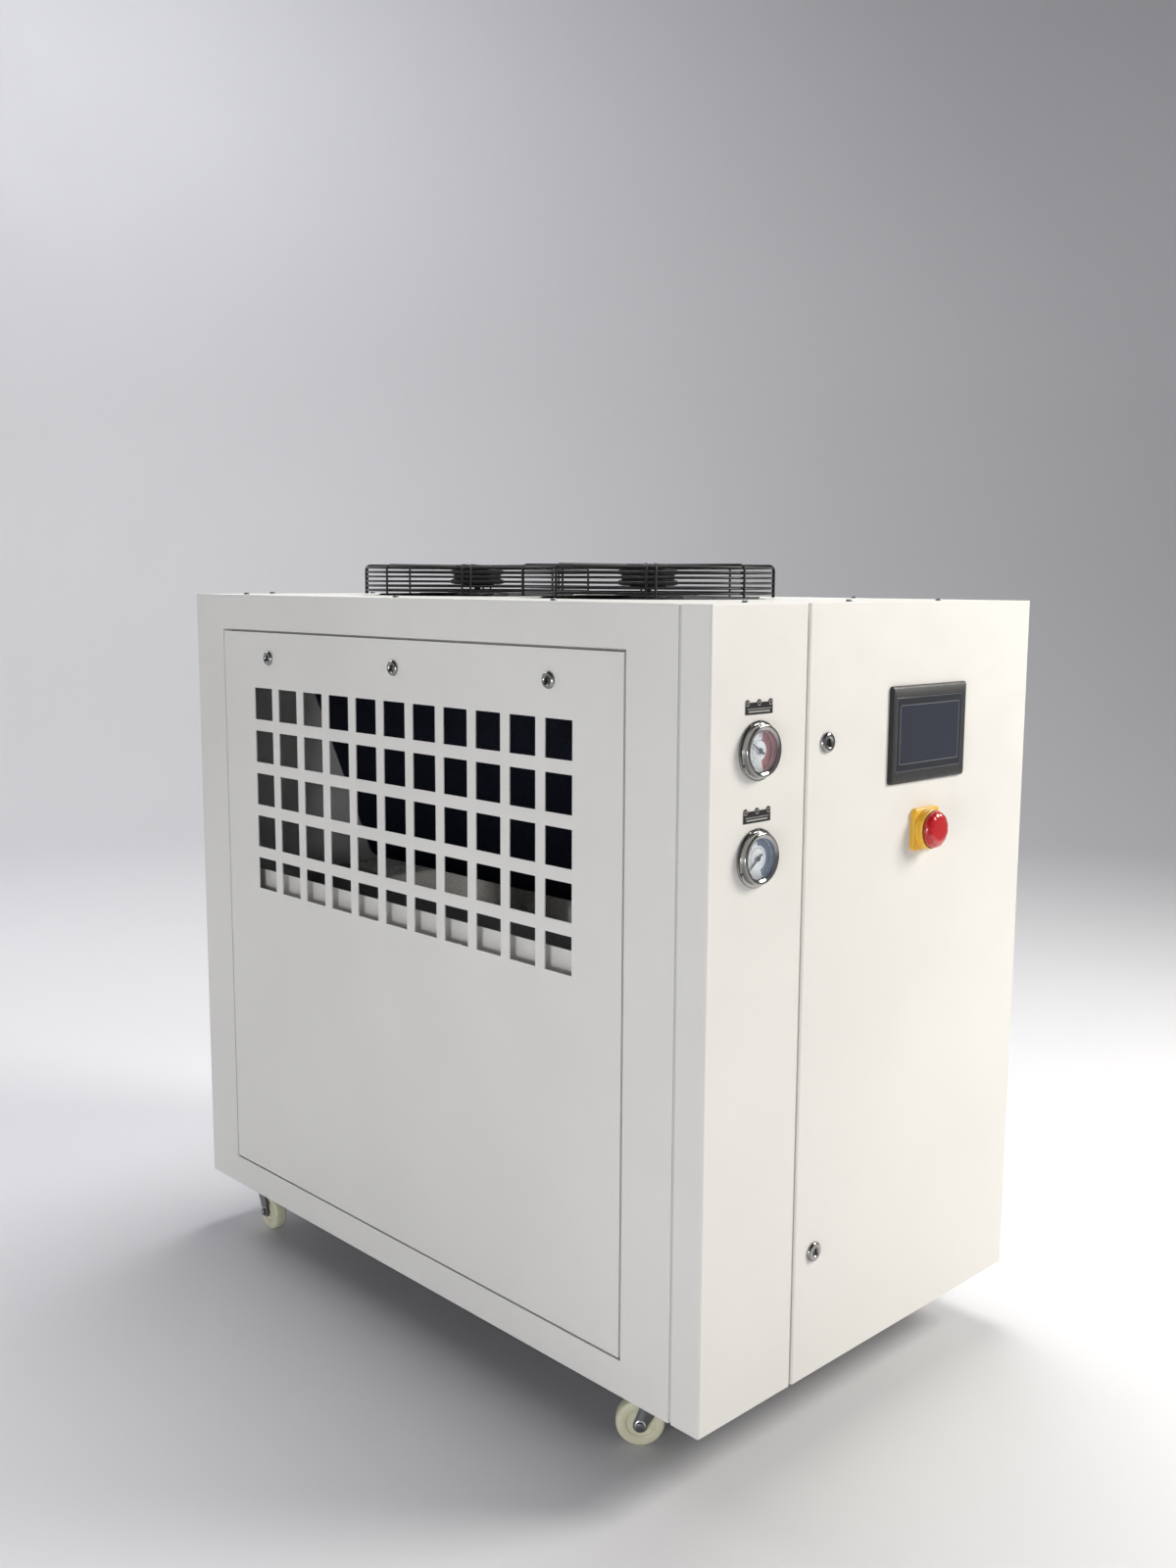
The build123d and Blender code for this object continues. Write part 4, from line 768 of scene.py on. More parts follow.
raw = softenedCopy("condenser_coil", 0)
endFace = max((face for face in raw.faces if face.normal.y < -0.99), key=lambda face: face.calc_area())
coilOutline = [Vector((loop.vert.co.x, loop.vert.co.z)) for loop in endFace.loops]
raw.free()
low, high = boxOf("condenser_coil")
coreOutline = insetOutline(coilOutline, coilWork["inset"])
coilPlane, endPlate, finPitch = frontPlane(0, 0, 0), coilWork["endPlate"], coilWork["finPitch"]
core, fin, ends, shadeLiner = bmesh.new(), bmesh.new(), bmesh.new(), bmesh.new()
stack(core, [(coreOutline, -high.y), (coreOutline, -low.y)], coilPlane)
put("coilCore", core, "coil_black", "condenser_coil", smooth=40)
stack(fin, [(coilOutline, 0), (coilOutline, coilWork["finThickness"])], coilPlane)
finCount = int((high.y - low.y - 2 * endPlate) / finPitch)
grow("coilFins", meshOf("coilFin", fin), rowTree, {"Count": finCount, "Pitch": (0, finPitch, 0)},
     "coil_black", smooth=40, at=Matrix.Translation((0, low.y + endPlate + finPitch / 2, 0)))
for y in (low.y, high.y - endPlate):
    stack(ends, [(coilOutline, -y - endPlate), (coilOutline, -y)], coilPlane)
put("coilEndPlates", ends, "galvanised", smooth=40)
low, high = boxOf("drain_tray")
middle = centreOf("drain_tray")
here = topPlane(middle.x, middle.y, low.z)
width, length = [high[axis] - low[axis] - 2 * trayWork["clear"] for axis in (0, 1)]
# a dark liner over the tray's floor and walls, where there is only shade under the coil: painted shade
block(shadeLiner, width, length, *trayWork["floor"], here, 0.4)
wallTop = high.z - low.z - trayWork["below"]
frameStrip(shadeLiner, width, length, 1, trayWork["wall"], trayWork["wallFoot"], wallTop, here)
put("drainTrayLiner", shadeLiner, "galvanised", smooth=40, coat="trayBitumen")
print("coil finned")

# pressure gauges: flanged bezels, cases, printed dials, needles and glasses, each turned from its profile
gaugeWork = {
    "bezel": [(31, 0), (40.5, 0), (41, 0.6), (41, 2.2), (40.2, 3), (37.4, 3), (36.5, 3.4), (36, 4.4),
              (36, 10.2), *arcPoints(33.8, 10.3, 2.2, 0, 90, 5), (32.0, 12.4), (30.4, 11.6), (29.0, 10.9),
              (28.5, 10.5), (31, 10.4)],
    "case": ((0, -30), (29, -30), (31, -28), (31, 10.3), (29.5, 10.3), (29.5, 1.9), (0, 1.9)),
    "stem": ((0, -46), (5.4, -46), (6, -45.4), (6, -29), (0, -29)),
    "glass": ((0, 8.5), (29.3, 8.5), (29.5, 8.7), (29.5, 10.2), (29.2, 10.5), (0, 10.5)),
    "pointer": ((-9, -1.7), (-4, -1.25), (17, -0.85), (24, -0.15), (24, 0.15), (17, 0.85), (-4, 1.25),
                (-9, 1.7)),
    "boss": ((0, -0.8), (3.6, -0.8), (4, -0.5), (4, 0), (3.4, 0.5), (0, 0.7)), "pin": 1.0, "pinOverlap": 0.1,
    "screwCircle": 38.4, "screwAngles": (90, 210, 330), "screwSeat": 3.0, "screw": (2.0, 1.2), "screwSeed": 5,
    "dial": 29.4, "dialBack": 2.0, "dialEdge": (0.2, 2.9), "wallBand": 28.9,
    "wallTop": 8.4, "ink": 0.12, "needle": 0.8, "numberSize": 4.6, "numberRadius": 19.4,
    "start": 225, "sweep": -270}
# count, radius, length, width
tickWork = {"Major": (7, 25.2, 4.6, 0.8), "Minor": (31, 26.2, 2.4, 0.4), "Inner": (49, 14.4, 1.7, 0.35)}
dialPrint = {  # numbers, coloured band (inner and outer radius, from and to angle), ink of the band
    "upper": (("0", "5", "10", "15", "20", "25", "30"), (13.5, 27.6, 76, -74), "redScale"),
    "lower": (("0", "2", "4", "6", "8", "10", "12"), (17.5, 27.8, 93, -68), "blueScale"),
}
front = boxOf("gauge_panel")[0].y
low, high = boxOf("gauge_bezels")
gaugeX, gaugeRadius = (low.x + high.x) / 2, (high.x - low.x) / 2
gaugeSpots = {"upper": (gaugeX, high.z - gaugeRadius), "lower": (gaugeX, low.z + gaugeRadius)}
dialFace = front - boxOf("gauge_dials")[0].y


def sector(shape, inner, outer, start, end, low, high, at, steps=36):
    outline = arcPoints(0, 0, outer, start, end, steps) + arcPoints(0, 0, inner, end, start, steps)
    stack(shape, [(outline, low), (outline, high)], at)


def printText(shape, words, size, at, thickness=0.08):
    curve = bpy.data.curves.new("printText", "FONT")
    curve.body, curve.size, curve.extrude = words, size, thickness
    curve.align_x, curve.align_y = "CENTER", "CENTER"
    holder = bpy.data.objects.new("printText", curve)
    bpy.context.scene.collection.objects.link(holder)
    bpy.context.view_layer.update()
    mesh = bpy.data.meshes.new_from_object(holder.evaluated_get(bpy.context.evaluated_depsgraph_get()))
    mesh.transform(at)
    shape.from_mesh(mesh)
    bpy.data.objects.remove(holder)
    bpy.data.meshes.remove(mesh)


# the CAD has both gauges in one node, and the upper pieces stand in for it
def putGauge(level, name, slotName, node, shape, smooth=30):
    put(level + name, shape, slotName, *([node] if level == "upper" else []), smooth=smooth)


gaugeScrews = []
for level, (x, z) in gaugeSpots.items():
    here = frontPlane(x, front, z)
    dialPlane, dialRadius = shifted(here, 0, 0, dialFace), gaugeWork["dial"]
    bezel, case, dial = bmesh.new(), bmesh.new(), bmesh.new()
    turn(bezel, gaugeWork["bezel"], here, 80, closed=True)
    putGauge(level, "GaugeBezel", "chrome", "gauge_bezels", bezel, 38)
    # the case takes a black finish, which stands in for the shade inside the gauge between dial and glass: painted
    # shade
    turn(case, gaugeWork["case"], here, 64)
    turn(case, gaugeWork["stem"], here, 24)
    putGauge(level, "GaugeCase", "motor_black", "gauge_cases", case)
    dialBack, (edge, edgeHeight) = gaugeWork["dialBack"], gaugeWork["dialEdge"]
    turn(dial, [(0, dialBack), (dialRadius, dialBack), (dialRadius, edgeHeight),
                (dialRadius - edge, dialFace), (0, dialFace)], here, 64)
    putGauge(level, "GaugeDial", "dial_white", "gauge_dials", dial)
    numbers, bandSize, bandInk = dialPrint[level]
    band = bmesh.new()
    sector(band, *bandSize, dialFace - 0.1, dialFace + 0.05, here)
    # this strip lines the shaded case wall beside the band in the band's dark ink: painted shade tinted by the
    # band, not print
    sector(band, gaugeWork["wallBand"], dialRadius, *bandSize[2:], dialFace, gaugeWork["wallTop"], here)
    put(f"{level}DialBand", band, "dial_white", coat=bandInk)
    start, sweep = math.radians(gaugeWork["start"]), math.radians(gaugeWork["sweep"])
    for tickName, (count, radius, length, width) in tickWork.items():
        grow(f"{level}Dial{tickName}Ticks", bpy.data.meshes.new("tickBase"), tickTree,
             {"Count": count, "Radius": radius, "Start": start, "Sweep": sweep, "Length": length,
              "Width": width, "Height": 2 * gaugeWork["ink"]}, "dial_white", coat="dialInk", at=dialPlane)
    marks = bmesh.new()
    for step, words in enumerate(numbers):
        angle = start + sweep * step / (len(numbers) - 1)
        across, up = [gaugeWork["numberRadius"] * share for share in (math.cos(angle), math.sin(angle))]
        printText(marks, words, gaugeWork["numberSize"], shifted(dialPlane, across, up))
    put(f"{level}DialNumbers", marks, "dial_white", coat="dialInk", recalc=False)
    node = f"{level}_gauge_needle"
    low, high = boxOf(node)
    tip = [max(low[axis] - centre, high[axis] - centre, key=abs) for axis, centre in ((0, x), (2, z))]
    face, pinBack = front - low.y, front - high.y
    back = face - gaugeWork["needle"]
    needle = bmesh.new()
    stack(needle, [(gaugeWork["pointer"], back), (gaugeWork["pointer"], face)],
          here @ Matrix.Rotation(math.atan2(tip[1], tip[0]), 4, "Z"))
    turn(needle, gaugeWork["boss"], shifted(here, 0, 0, face), 28)
    pin, pinFront = gaugeWork["pin"], back + gaugeWork["pinOverlap"]
    turn(needle, [(0, pinBack), (pin, pinBack), (pin, pinFront), (0, pinFront)], here, 14)
    put(f"{level}Needle", needle, "needle_paint", node, smooth=35)
    glass = bmesh.new()
    turn(glass, gaugeWork["glass"], here, 56)
    putGauge(level, "GaugeGlass", "gauge_glass", "gauge_glasses", glass)
    for angle in gaugeWork["screwAngles"]:
        seat = Vector((gaugeWork["screwCircle"], 0, gaugeWork["screwSeat"]))
        gaugeScrews.append((here @ Matrix.Rotation(math.radians(angle), 4, "Z") @ seat, (0, -1, 0)))
setFixings("gaugeScrews", gaugeScrews, panHead(*gaugeWork["screw"]), "lock_steel", gaugeWork["screwSeed"])
print("gauges made")

# label plates with three bumps, left bare but for rings and plain light strokes
labelWork = {"length": 56.0, "height": 16.0, "bump": 4.0, "spacing": 24.0, "rise": 57.0, "thickness": 0.85,
             "edge": 0.12, "inkLow": 0.8, "inkHigh": 0.92, "ring": (2.3, 3.2), "ringDrop": 1.5,
             "strokes": ((7, 0.9, 7.4), (12, 2.0, 3.8))}  # how much shorter than the plate, height, rise
for level, (x, z) in gaugeSpots.items():
    here = frontPlane(x, front, z + labelWork["rise"])
    w, h = labelWork["length"] / 2, labelWork["height"] / 2
    centres = (labelWork["spacing"], 0, -labelWork["spacing"])
    outline = [(-w, -h), (w, -h)] + [point for centre in centres
                                     for point in arcPoints(centre, h, labelWork["bump"], 0, 180, 8)]
    label, strokes = bmesh.new(), bmesh.new()
    stack(label, [(outline, 0), (outline, labelWork["thickness"])], here)
    bevelEdges(label, labelWork["edge"], 1)
    put(f"{level}LabelPlate", label, "label_black", *(["gauge_labels"] if level == "upper" else []))
    low, high, (inner, outer) = labelWork["inkLow"], labelWork["inkHigh"], labelWork["ring"]
    for centre in centres[::-1]:
        turn(strokes, [(inner, low), (outer, low), (outer, high), (inner, high)],
             shifted(here, centre, h - labelWork["ringDrop"]), 20, closed=True)
    for shorter, height, rise in labelWork["strokes"]:
        block(strokes, labelWork["length"] - shorter, height, low, high, shifted(here, 0, rise - h), 0.1)
    put(f"{level}LabelStrokes", strokes, "label_black", coat="labelInk")
print("label plates made")

# touch screen: bevelled bezel, ribbed rear housing, glass with two drawn frames
screenWork = {
    "bezel": (200.4, 146.5), "glass": (177.0, 112.0), "display": (157.0, 88.0),
    "rim": ((0, 5, 0.05), (0, 5, 3.4), (0.8, 4.8, 3.9), (6.4, 3.6, 5.8), (7.4, 3.4, 6.0)),
    "inside": ((-1.0, 2.0, 6.0), (-0.5, 1.8, 5.7), (-0.3, 1.6, 4.8)),
    "pane": ((0, 1.4, 4.8), (0, 1.4, 5.6), (0.6, 1.2, 5.8)), "displayHeights": (5.7, 5.86),
    # how much larger than the glass or the display, corner radius and width of each drawn frame
    "frames": {"glass": (-1, 3.5, 0.7), "display": (1.2, 2.0, 1.05)}, "frameHeights": (5.75, 5.95),
    # how much narrower and lower than the bezel, and where from and to, measured from the panel
    "housing": ((12.4, 12.4, -28, 0), (40, 36, -36, -27)),
    "rib": (3, 60, -36, -34), "ribs": 9, "ribPitch": 15}  # a rib's width, and the rest as above
screenMiddle = centreOf("screen_glass")
here = frontPlane(screenMiddle.x, front, screenMiddle.z)
bezelSize, glassSize = screenWork["bezel"], screenWork["glass"]
bezel, housing, glass, display, lines = [bmesh.new() for _ in range(5)]
rim, inside = roundedLayers(bezelSize, screenWork["rim"]), roundedLayers(glassSize, screenWork["inside"])
stack(bezel, rim + inside, here)
put("screenBezelFrame", bezel, "screen_black", "screen_bezel", smooth=25)
for narrower, lower, back, face in screenWork["housing"]:
    block(housing, bezelSize[0] - narrower, bezelSize[1] - lower, back, face, here, 2)
ribWidth, lower, back, face = screenWork["rib"]
for step in range(screenWork["ribs"]):
    x = (step - (screenWork["ribs"] - 1) / 2) * screenWork["ribPitch"]
    block(housing, ribWidth, bezelSize[1] - lower, back, face, shifted(here, x, 0), 0.5)
put("screenHousing", housing, "screen_black", body=bodyOf["screen_bezel"], smooth=25)
stack(glass, roundedLayers(glassSize, screenWork["pane"]), here)
put("screenPane", glass, "screen_glass", "screen_glass", smooth=25)
block(display, *screenWork["display"], *screenWork["displayHeights"], here, 0.1)
put("screenDisplay", display, "screen_glass", body=bodyOf["screen_glass"], smooth=25, coat="navyDisplay")
for part, (more, radius, line) in screenWork["frames"].items():
    width, height = screenWork[part]
    frameStrip(lines, width + more, height + more, radius, line, *screenWork["frameHeights"], here)
put("screenLines", lines, "screen_glass", body=bodyOf["screen_glass"], smooth=25, coat="silverLine")
print("screen made")

# rotary isolator: yellow plate and collar, switch body behind, faceted red knob
isolatorWork = {
    "size": (65.0, 65.0), "plate": ((0, 7, 0.05), (0, 7, 5.6), (0.8, 6.7, 7.1), (3, 6, 7.8), (5, 5.4, 8.0)),
    "collar": ((31.6, 7.6), (31, 8.8), (31, 13.4), (30.3, 14.0), (30.3, 14.8), (31, 15.4), (31, 18.4),
               (30.5, 19.5), (29.6, 20.0), (29.1, 19.4), (29.1, 16), (0, 16)),
    # width, height, from and to behind the panel
    "body": (44.0, 44.0, -34.0, 0.1), "terminal": (12, 36, -28, -14), "terminalX": 14,
    "facets": 12, "sides": 72,
    "shaft": ((0, -3.4), (5, -3.4), (5, 20.8), (0, 20.8)),
    # radius, height, and how deep the facets bite
    "knob": ((27.3, 20.6, 0), (28.5, 21.4, 0), (28.5, 23.6, 0), (28.1, 26.0, 0.2), (26.5, 28.8, 0.8),
             (23.1, 31.2, 1.0), (19.0, 32.3, 0.5), (14.5, 32.6, 0))}
middle = centreOf("isolator_plate")
here = frontPlane(middle.x, front, middle.z)
plate, switch, knob = bmesh.new(), bmesh.new(), bmesh.new()
stack(plate, roundedLayers(isolatorWork["size"], isolatorWork["plate"]), here)
turn(plate, isolatorWork["collar"], here, 72)
put("isolatorPlateMoulding", plate, "isolator_yellow", "isolator_plate", smooth=32)
block(switch, *isolatorWork["body"], here, 1.5)
for side in (-1, 1):
    block(switch, *isolatorWork["terminal"], shifted(here, side * isolatorWork["terminalX"], 0), 1)
put("isolatorSwitchBody", switch, "screen_black", body=bodyOf["isolator_plate"])
rows = []
for radius, height, bite in isolatorWork["knob"]:
    turns = [2 * math.pi * step / isolatorWork["sides"] for step in range(isolatorWork["sides"])]
    reach = [radius - bite * max(0.0, math.cos(t * isolatorWork["facets"])) for t in turns]
    rows.append([here @ Vector((r * math.cos(t), r * math.sin(t), height)) for r, t in zip(reach, turns)])
loft(knob, rows)
turn(knob, isolatorWork["shaft"], here, 24)
put("isolatorKnobMoulding", knob, "knob_red", "isolator_knob", smooth=50)
print("isolator made")

# quarter-turn locks: flanged housings, and recessed cores with a double-bit insert and a cam
lockWork = {
    "flangeHeight": 5.0, "cam": 14.0, "camThick": 3.0, "camCorner": 2.0, "core": 6.0,
    "bit": (1.5, 8.52, -1.1, 2.0),  # width, height, from and to
    "barrel": ((6.05, -20), (9, -20), (9, 0.02)),
    "flange": ((0.4, 0.02), (0, 0.5), (0, 1.8), (0.7, 3.2), (2.2, 4.5), (3.6, 5)),  # distance inside the rim
    "mouth": ((8.05, 5), (7.25, 4.6), (6.05, 3.4)),
    "coreFace": ((6, 2.4), (5.6, 2.9), (4.6, 2.9), (4.4, 2.6), (4.4, -1), (0, -1)),
    "pin": ((0, -1.1), (1.7, -1.1), (1.7, 1.9), (1.3, 2.3), (0, 2.3))}
panelFace = boxOf("left_access_panel")[0].x


def lockPlane(node):
    low, high = boxOf(node)
    middle, pivot = centreOf(node), low.z + lockWork["cam"] / 2
    if "door" in node:
        return frontPlane(middle.x, front, pivot), high.y - low.y, high.z - pivot
    side = -1 if node.startswith("left") else 1
    sidePlane = plane((-side * panelFace, middle.y, pivot), (0, side, 0), (side, 0, 0))
    return sidePlane, high.x - low.x, high.z - pivot


def lockCore(shape, length, reach, at):
    back, half, corner = lockWork["flangeHeight"] - length, lockWork["cam"] / 2, lockWork["camCorner"]
    turn(shape, ((0, back), (lockWork["core"], back)) + lockWork["coreFace"], at, 36)
    turn(shape, lockWork["pin"], at, 16)
    block(shape, *lockWork["bit"], at, 0.3)
    outline = arcPoints(0, 0, half, 180, 360, 10) + [(half, reach - corner), (half - corner, reach),
                                                     (corner - half, reach), (-half, reach - corner)]
    stack(shape, [(outline, back), (outline, back + lockWork["camThick"])], at)


panelLocks = [node for node in slotOf if node.startswith(("left_lock", "right_lock"))]
doorLocks = ("upper_door_lock", "lower_door_lock")
for node, name, rim, cores in (  # rim is the radius of the flange
        ("door_lock_housings", "doorLockHousings", 15.0, doorLocks),
        ("panel_lock_housings", "panelLockHousings", 13.0, panelLocks)):
    shells = bmesh.new()
    flange = tuple((rim - inside, height) for inside, height in lockWork["flange"])
    for coreNode in cores:
        here, length, reach = lockPlane(coreNode)
        turn(shells, lockWork["barrel"] + flange + lockWork["mouth"], here, 56, closed=True)
        core, coreName = bmesh.new(), capitals(coreNode) + "Core"
        lockCore(core, length, reach, here)
        put(coreName[0].lower() + coreName[1:], core, "lock_steel", coreNode, smooth=32)
    put(name, shells, "chrome", node, smooth=34)
print("locks made")

# hinges, with their countersunk screws
hingeWork = {"leaf": 3.0, "fromEdge": 16.0, "fromEnd": 38.0, "spread": 26.0, "zigzag": 4.0,
             "screw": (3.0, 1.3), "screwSeed": 8}
for side in ("cabinet", "door"):
    node, name = f"{side}_hinges", f"{side}HingeLeaves"
    putSoftened(name, node, 0.6, smooth=40)
    low, high = boxOf(node)
    face = boxOf("right_surround")[1].x + hingeWork["leaf"]
    along = high.y - hingeWork["fromEdge"] if side == "cabinet" else low.y + hingeWork["fromEdge"]
    spots = [((face, along + (1 if rise == 0 else -1) * hingeWork["zigzag"], centre + rise), (1, 0, 0))
             for centre in (low.z + hingeWork["fromEnd"], high.z - hingeWork["fromEnd"])
             for rise in (-hingeWork["spread"], 0, hingeWork["spread"])]
    setFixings(name + "Screws", spots, panHead(*hingeWork["screw"]), "lock_steel", hingeWork["screwSeed"],
               bodyOf[node])
print("hinges made")

# castors: plates, pressed forks with domed axle bolts, cream wheels
castorWork = {
    "bolt": 27.0, "boltHead": (5.5, 6.0), "boltSeed": 11, "plate": 4.0, "overForks": 18.0,
    "washer": ((0, 0), (8.5, 0), (8.5, 0.9), (7.9, 1.2), (0, 1.2)),
    "nut": ((0, 1), (5.4, 1), (5.4, 3.4), (4.6, 4.6), (2.6, 5.0), (0, 5.0)),
    "wheel": [(4.05, -12), (11.4, -12), (12, -11.4), (12.4, -9.2), (13, -9), (20, -9), (21.2, -9.6),
              (22, -11.2), (23.4, -12), (31, -12), (33.6, -11.4), (35.6, -10), (36.7, -7.6), (37, -5)]}
putSoftened("castorPlateSteel", "castor_plates", 0.5, smooth=35)
castorBolts = []
for corner in ("front_left", "front_right", "rear_left", "rear_right"):
    name, fork, wheelNode = capitals(corner), f"castor_fork_{corner}", f"castor_wheel_{corner}"
    pivot = Vector(jointOf[f"castor_swivel_{corner}"]["pos_m"]) / mm
    boltZ = boxOf("castor_plates")[1].z - castorWork["plate"]
    castorBolts += [((pivot.x + x * castorWork["bolt"], pivot.y + y * castorWork["bolt"], boltZ), (0, 0, -1))
                    for x in (-1, 1) for y in (-1, 1)]
    putSoftened("castorFork" + name, fork, 0.7, smooth=40)
    hub = Vector(jointOf[f"castor_roll_{corner}"]["pos_m"]) / mm
    axis = Vector(jointOf[f"castor_roll_{corner}"]["axis"]).normalized()
    caps, wheel = bmesh.new(), bmesh.new()
    for side in (-1, 1):
        sidePlane = plane(hub + axis * side * castorWork["overForks"], (0, 0, 1), axis * side)
        turn(caps, castorWork["washer"], sidePlane, 24)
        turn(caps, castorWork["nut"], sidePlane, 20)
    put("castorAxleBolt" + name, caps, "castor_steel", body=fork, smooth=35, coat="brightZinc")
    otherSide = [(radius, -height) for radius, height in reversed(castorWork["wheel"])]
    turn(wheel, castorWork["wheel"] + otherSide, plane(hub, (0, 0, 1), axis), 64, closed=True)
    put("castorWheel" + name, wheel, "wheel_nylon", wheelNode, smooth=32)
boltHead = hexHead(*castorWork["boltHead"])
setFixings("castorBolts", castorBolts, boltHead, "castor_steel", castorWork["boltSeed"])
print("castors made")

# back fittings: flanged water ports with an inner thread, and a cable gland with its nut
portWork = {
    "bore": 15.15, "length": 28.0, "threads": 8, "pitch": 2.3, "threadDepth": 1.1, "firstThread": 1.2,
    "outside": [(15.15, -28), (20, -28), (20, 0), (25.6, 0), (26, 0.4), (26, 3.6), (25.5, 4), (20, 4.2),
                (20, 27), (19, 28), (16.55, 28)]}
glandWork = {
    "body": ((6.5, -22), (14, -22), (14, 10), (14, 12), (13.2, 15), (12.4, 19), (10.4, 21.6), (8, 22),
             (6.5, 21.4)),
    "nut": ((13.4, 0.02), (18, 0.02), (18, 10), (16.8, 11), (13.4, 11))}
low, high = boxOf("water_ports")
portX, portRadius = (low.x + high.x) / 2, (high.x - low.x) / 2
back = boxOf("rear_panel")[1].y
ports, gland = bmesh.new(), bmesh.new()
for z in (low.z + portRadius, high.z - portRadius):
    profile, pitch, bore = list(portWork["outside"]), portWork["pitch"], portWork["bore"]
    for step in range(portWork["threads"]):
        top = portWork["length"] - portWork["firstThread"] - step * pitch
        profile += [(bore + portWork["threadDepth"], top), (bore, top - pitch / 2)]
    turn(ports, profile, plane((portX, back, z), (-1, 0, 0), (0, 1, 0)), closed=True)
put("waterPortsBrass", ports, "port_brass", "water_ports", smooth=28)
middle = centreOf("cable_gland")
here = plane((middle.x, back, middle.z), (-1, 0, 0), (0, 1, 0))
turn(gland, glandWork["body"], here, 36, closed=True)
stack(gland, [(hexagon(radius), height) for radius, height in glandWork["nut"]], here, "join")
put("cableGlandNylon", gland, "gland_plastic", "cable_gland")
print("back fittings made")

# control gear behind the door: moulded devices on rails, and slotted wiring ducts
gearWork = {"length": 400.0, "pitch": 180.0, "gap": 1.0, "rail": 17.5, "duct": 40.0, "ductFace": 26.0,
            "finger": (6, 36, -0.2, 1.2), "fingerPitch": 10.0}
# width, count and finish, blocks of (width, height, low, high, x, y, edge radius), and pairs of screw rows
# above and below the middle of (spread, height, depth, count)
deviceWork = {
    "breakerRow": (18.0, 14, "paleMoulding",
                   [(18, 80, 0, 42, 0, 0, 0.6), (17.4, 46, 40, 50, 0, 0, 1), (9, 9, 48, 55, 0, 5, 1.2)],
                   [(0, 33, 41.6, 1)]),
    "contactorRow": (45.0, 5, "darkMoulding",
                     [(45, 75, 0, 34, 0, 0, 1.2), (42, 48, 32, 52, 0, 0, 1.4), (16, 14, 50, 58, 0, 0, 1)],
                     [(40, 31, 33.6, 3)]),
    "controllerRow": (72.0, 4, "device_grey",
                      [(72, 90, 0, 40, 0, 0, 1.4), (68, 56, 38, 50, 0, 0, 1.6), (62, 10, 38, 46, 0, -37, 0.8),
                       (62, 10, 38, 46, 0, 37, 0.8), (30, 14, 49, 50, -14, 14, 0.4)],
                      [(60, -37, 45.6, 6), (60, 37, 45.6, 6)]),
    "terminalRow": (14.0, 18, "paleMoulding",
                    [(13.4, 45, 0, 28, 0, 0, 0.6), (9, 26, 26, 36, 0, 0, 1)], [(0, 18, 27.6, 1)]),
}
railLow, railHigh = boxOf("gear_rails")
gearMiddle = (railLow.x + railHigh.x) / 2
gearHeights = [railHigh.z - gearWork["rail"] - row * gearWork["pitch"] for row in range(4)]
putSoftened("gearRailSteel", "gear_rails", 0.2, 1, smooth=40)
for (name, (width, count, coat, blocks, screws)), height in zip(deviceWork.items(), gearHeights):
    device = bmesh.new()
    for *size, x, y, radius in blocks:
        block(device, *size, shifted(flat, x, y), radius)
    for spread, rise, depth, number in screws:
        for end in (-1, 1):
            for step in range(number):
                x = (step - (number - 1) / 2) * spread / number
                turn(device, [(0, depth), (3.2, depth), (3.2, depth + 1), (2.4, depth + 1.4), (0, depth + 1)],
                     shifted(flat, x, end * rise), 12)
    device.transform(frontPlane(0, 0, 0))
    step = width + gearWork["gap"]
    grow(name, meshOf(name, device), rowTree, {"Count": count, "Pitch": (step, 0, 0)}, "device_grey",
         *(["gear_devices"] if name == "breakerRow" else []), smooth=32, coat=coat,
         at=Matrix.Translation((gearMiddle - step * (count - 1) / 2, railLow.y, height)))
putSoftened("ductShells", "wiring_ducts", 0.5, 1, smooth=40)
fingers, fingerPitch = bmesh.new(), gearWork["fingerPitch"]
for height in [gearHeights[0] + gearWork["pitch"]] + gearHeights:
    for side in (-1, 1):
        z = height - gearWork["pitch"] / 2 + side * (gearWork["duct"] / 2 - 1)
        wall = plane((0, railHigh.y - gearWork["ductFace"], z), (1, 0, 0), (0, 0, side))
        block(fingers, *gearWork["finger"], wall, 0.4)
grow("ductFingers", meshOf("ductFinger", fingers), rowTree,
     {"Count": int(gearWork["length"] / fingerPitch), "Pitch": (fingerPitch, 0, 0)}, "duct_grey", smooth=32,
     at=Matrix.Translation((gearMiddle - gearWork["length"] / 2 + fingerPitch / 2, 0, 0)))
print("control gear made")

# sheet screws: top sheet and back
screwWork = {"roofEnd": 18, "roofSide": 30, "roofX": (-240, 0, 240), "roofY": (-320, 60, 520),
             "roofHead": (5.2, 3.4), "roofSeed": 13, "rearSide": 20, "rearEnd": 40, "rearRows": 5,
             "rearX": (-130, 130), "rearHead": (5.2, 1.9), "rearSeed": 17}
low, high = boxOf("top_panel")
roofScrews = [((x, y, high.z), (0, 0, 1)) for x in screwWork["roofX"]
              for y in (low.y + screwWork["roofEnd"], high.y - screwWork["roofEnd"])]
roofSides = (low.x + screwWork["roofSide"], high.x - screwWork["roofSide"])
roofScrews += [((x, y, high.z), (0, 0, 1)) for x in roofSides for y in screwWork["roofY"]]
setFixings("roofScrews", roofScrews, panHead(*screwWork["roofHead"]), "castor_steel", screwWork["roofSeed"])
low, high = boxOf("rear_panel")
side, end, rows = screwWork["rearSide"], screwWork["rearEnd"], screwWork["rearRows"]
rearScrews = [((x, back, low.z + end + step * (high.z - low.z - 2 * end) / (rows - 1)), (0, 1, 0))
              for x in (low.x + side, high.x - side) for step in range(rows)]
rearScrews += [((x, back, z), (0, 1, 0)) for x in screwWork["rearX"] for z in (low.z + side, high.z - side)]
setFixings("rearScrews", rearScrews, panHead(*screwWork["rearHead"]), "castor_steel", screwWork["rearSeed"])
print("sheet screws set")

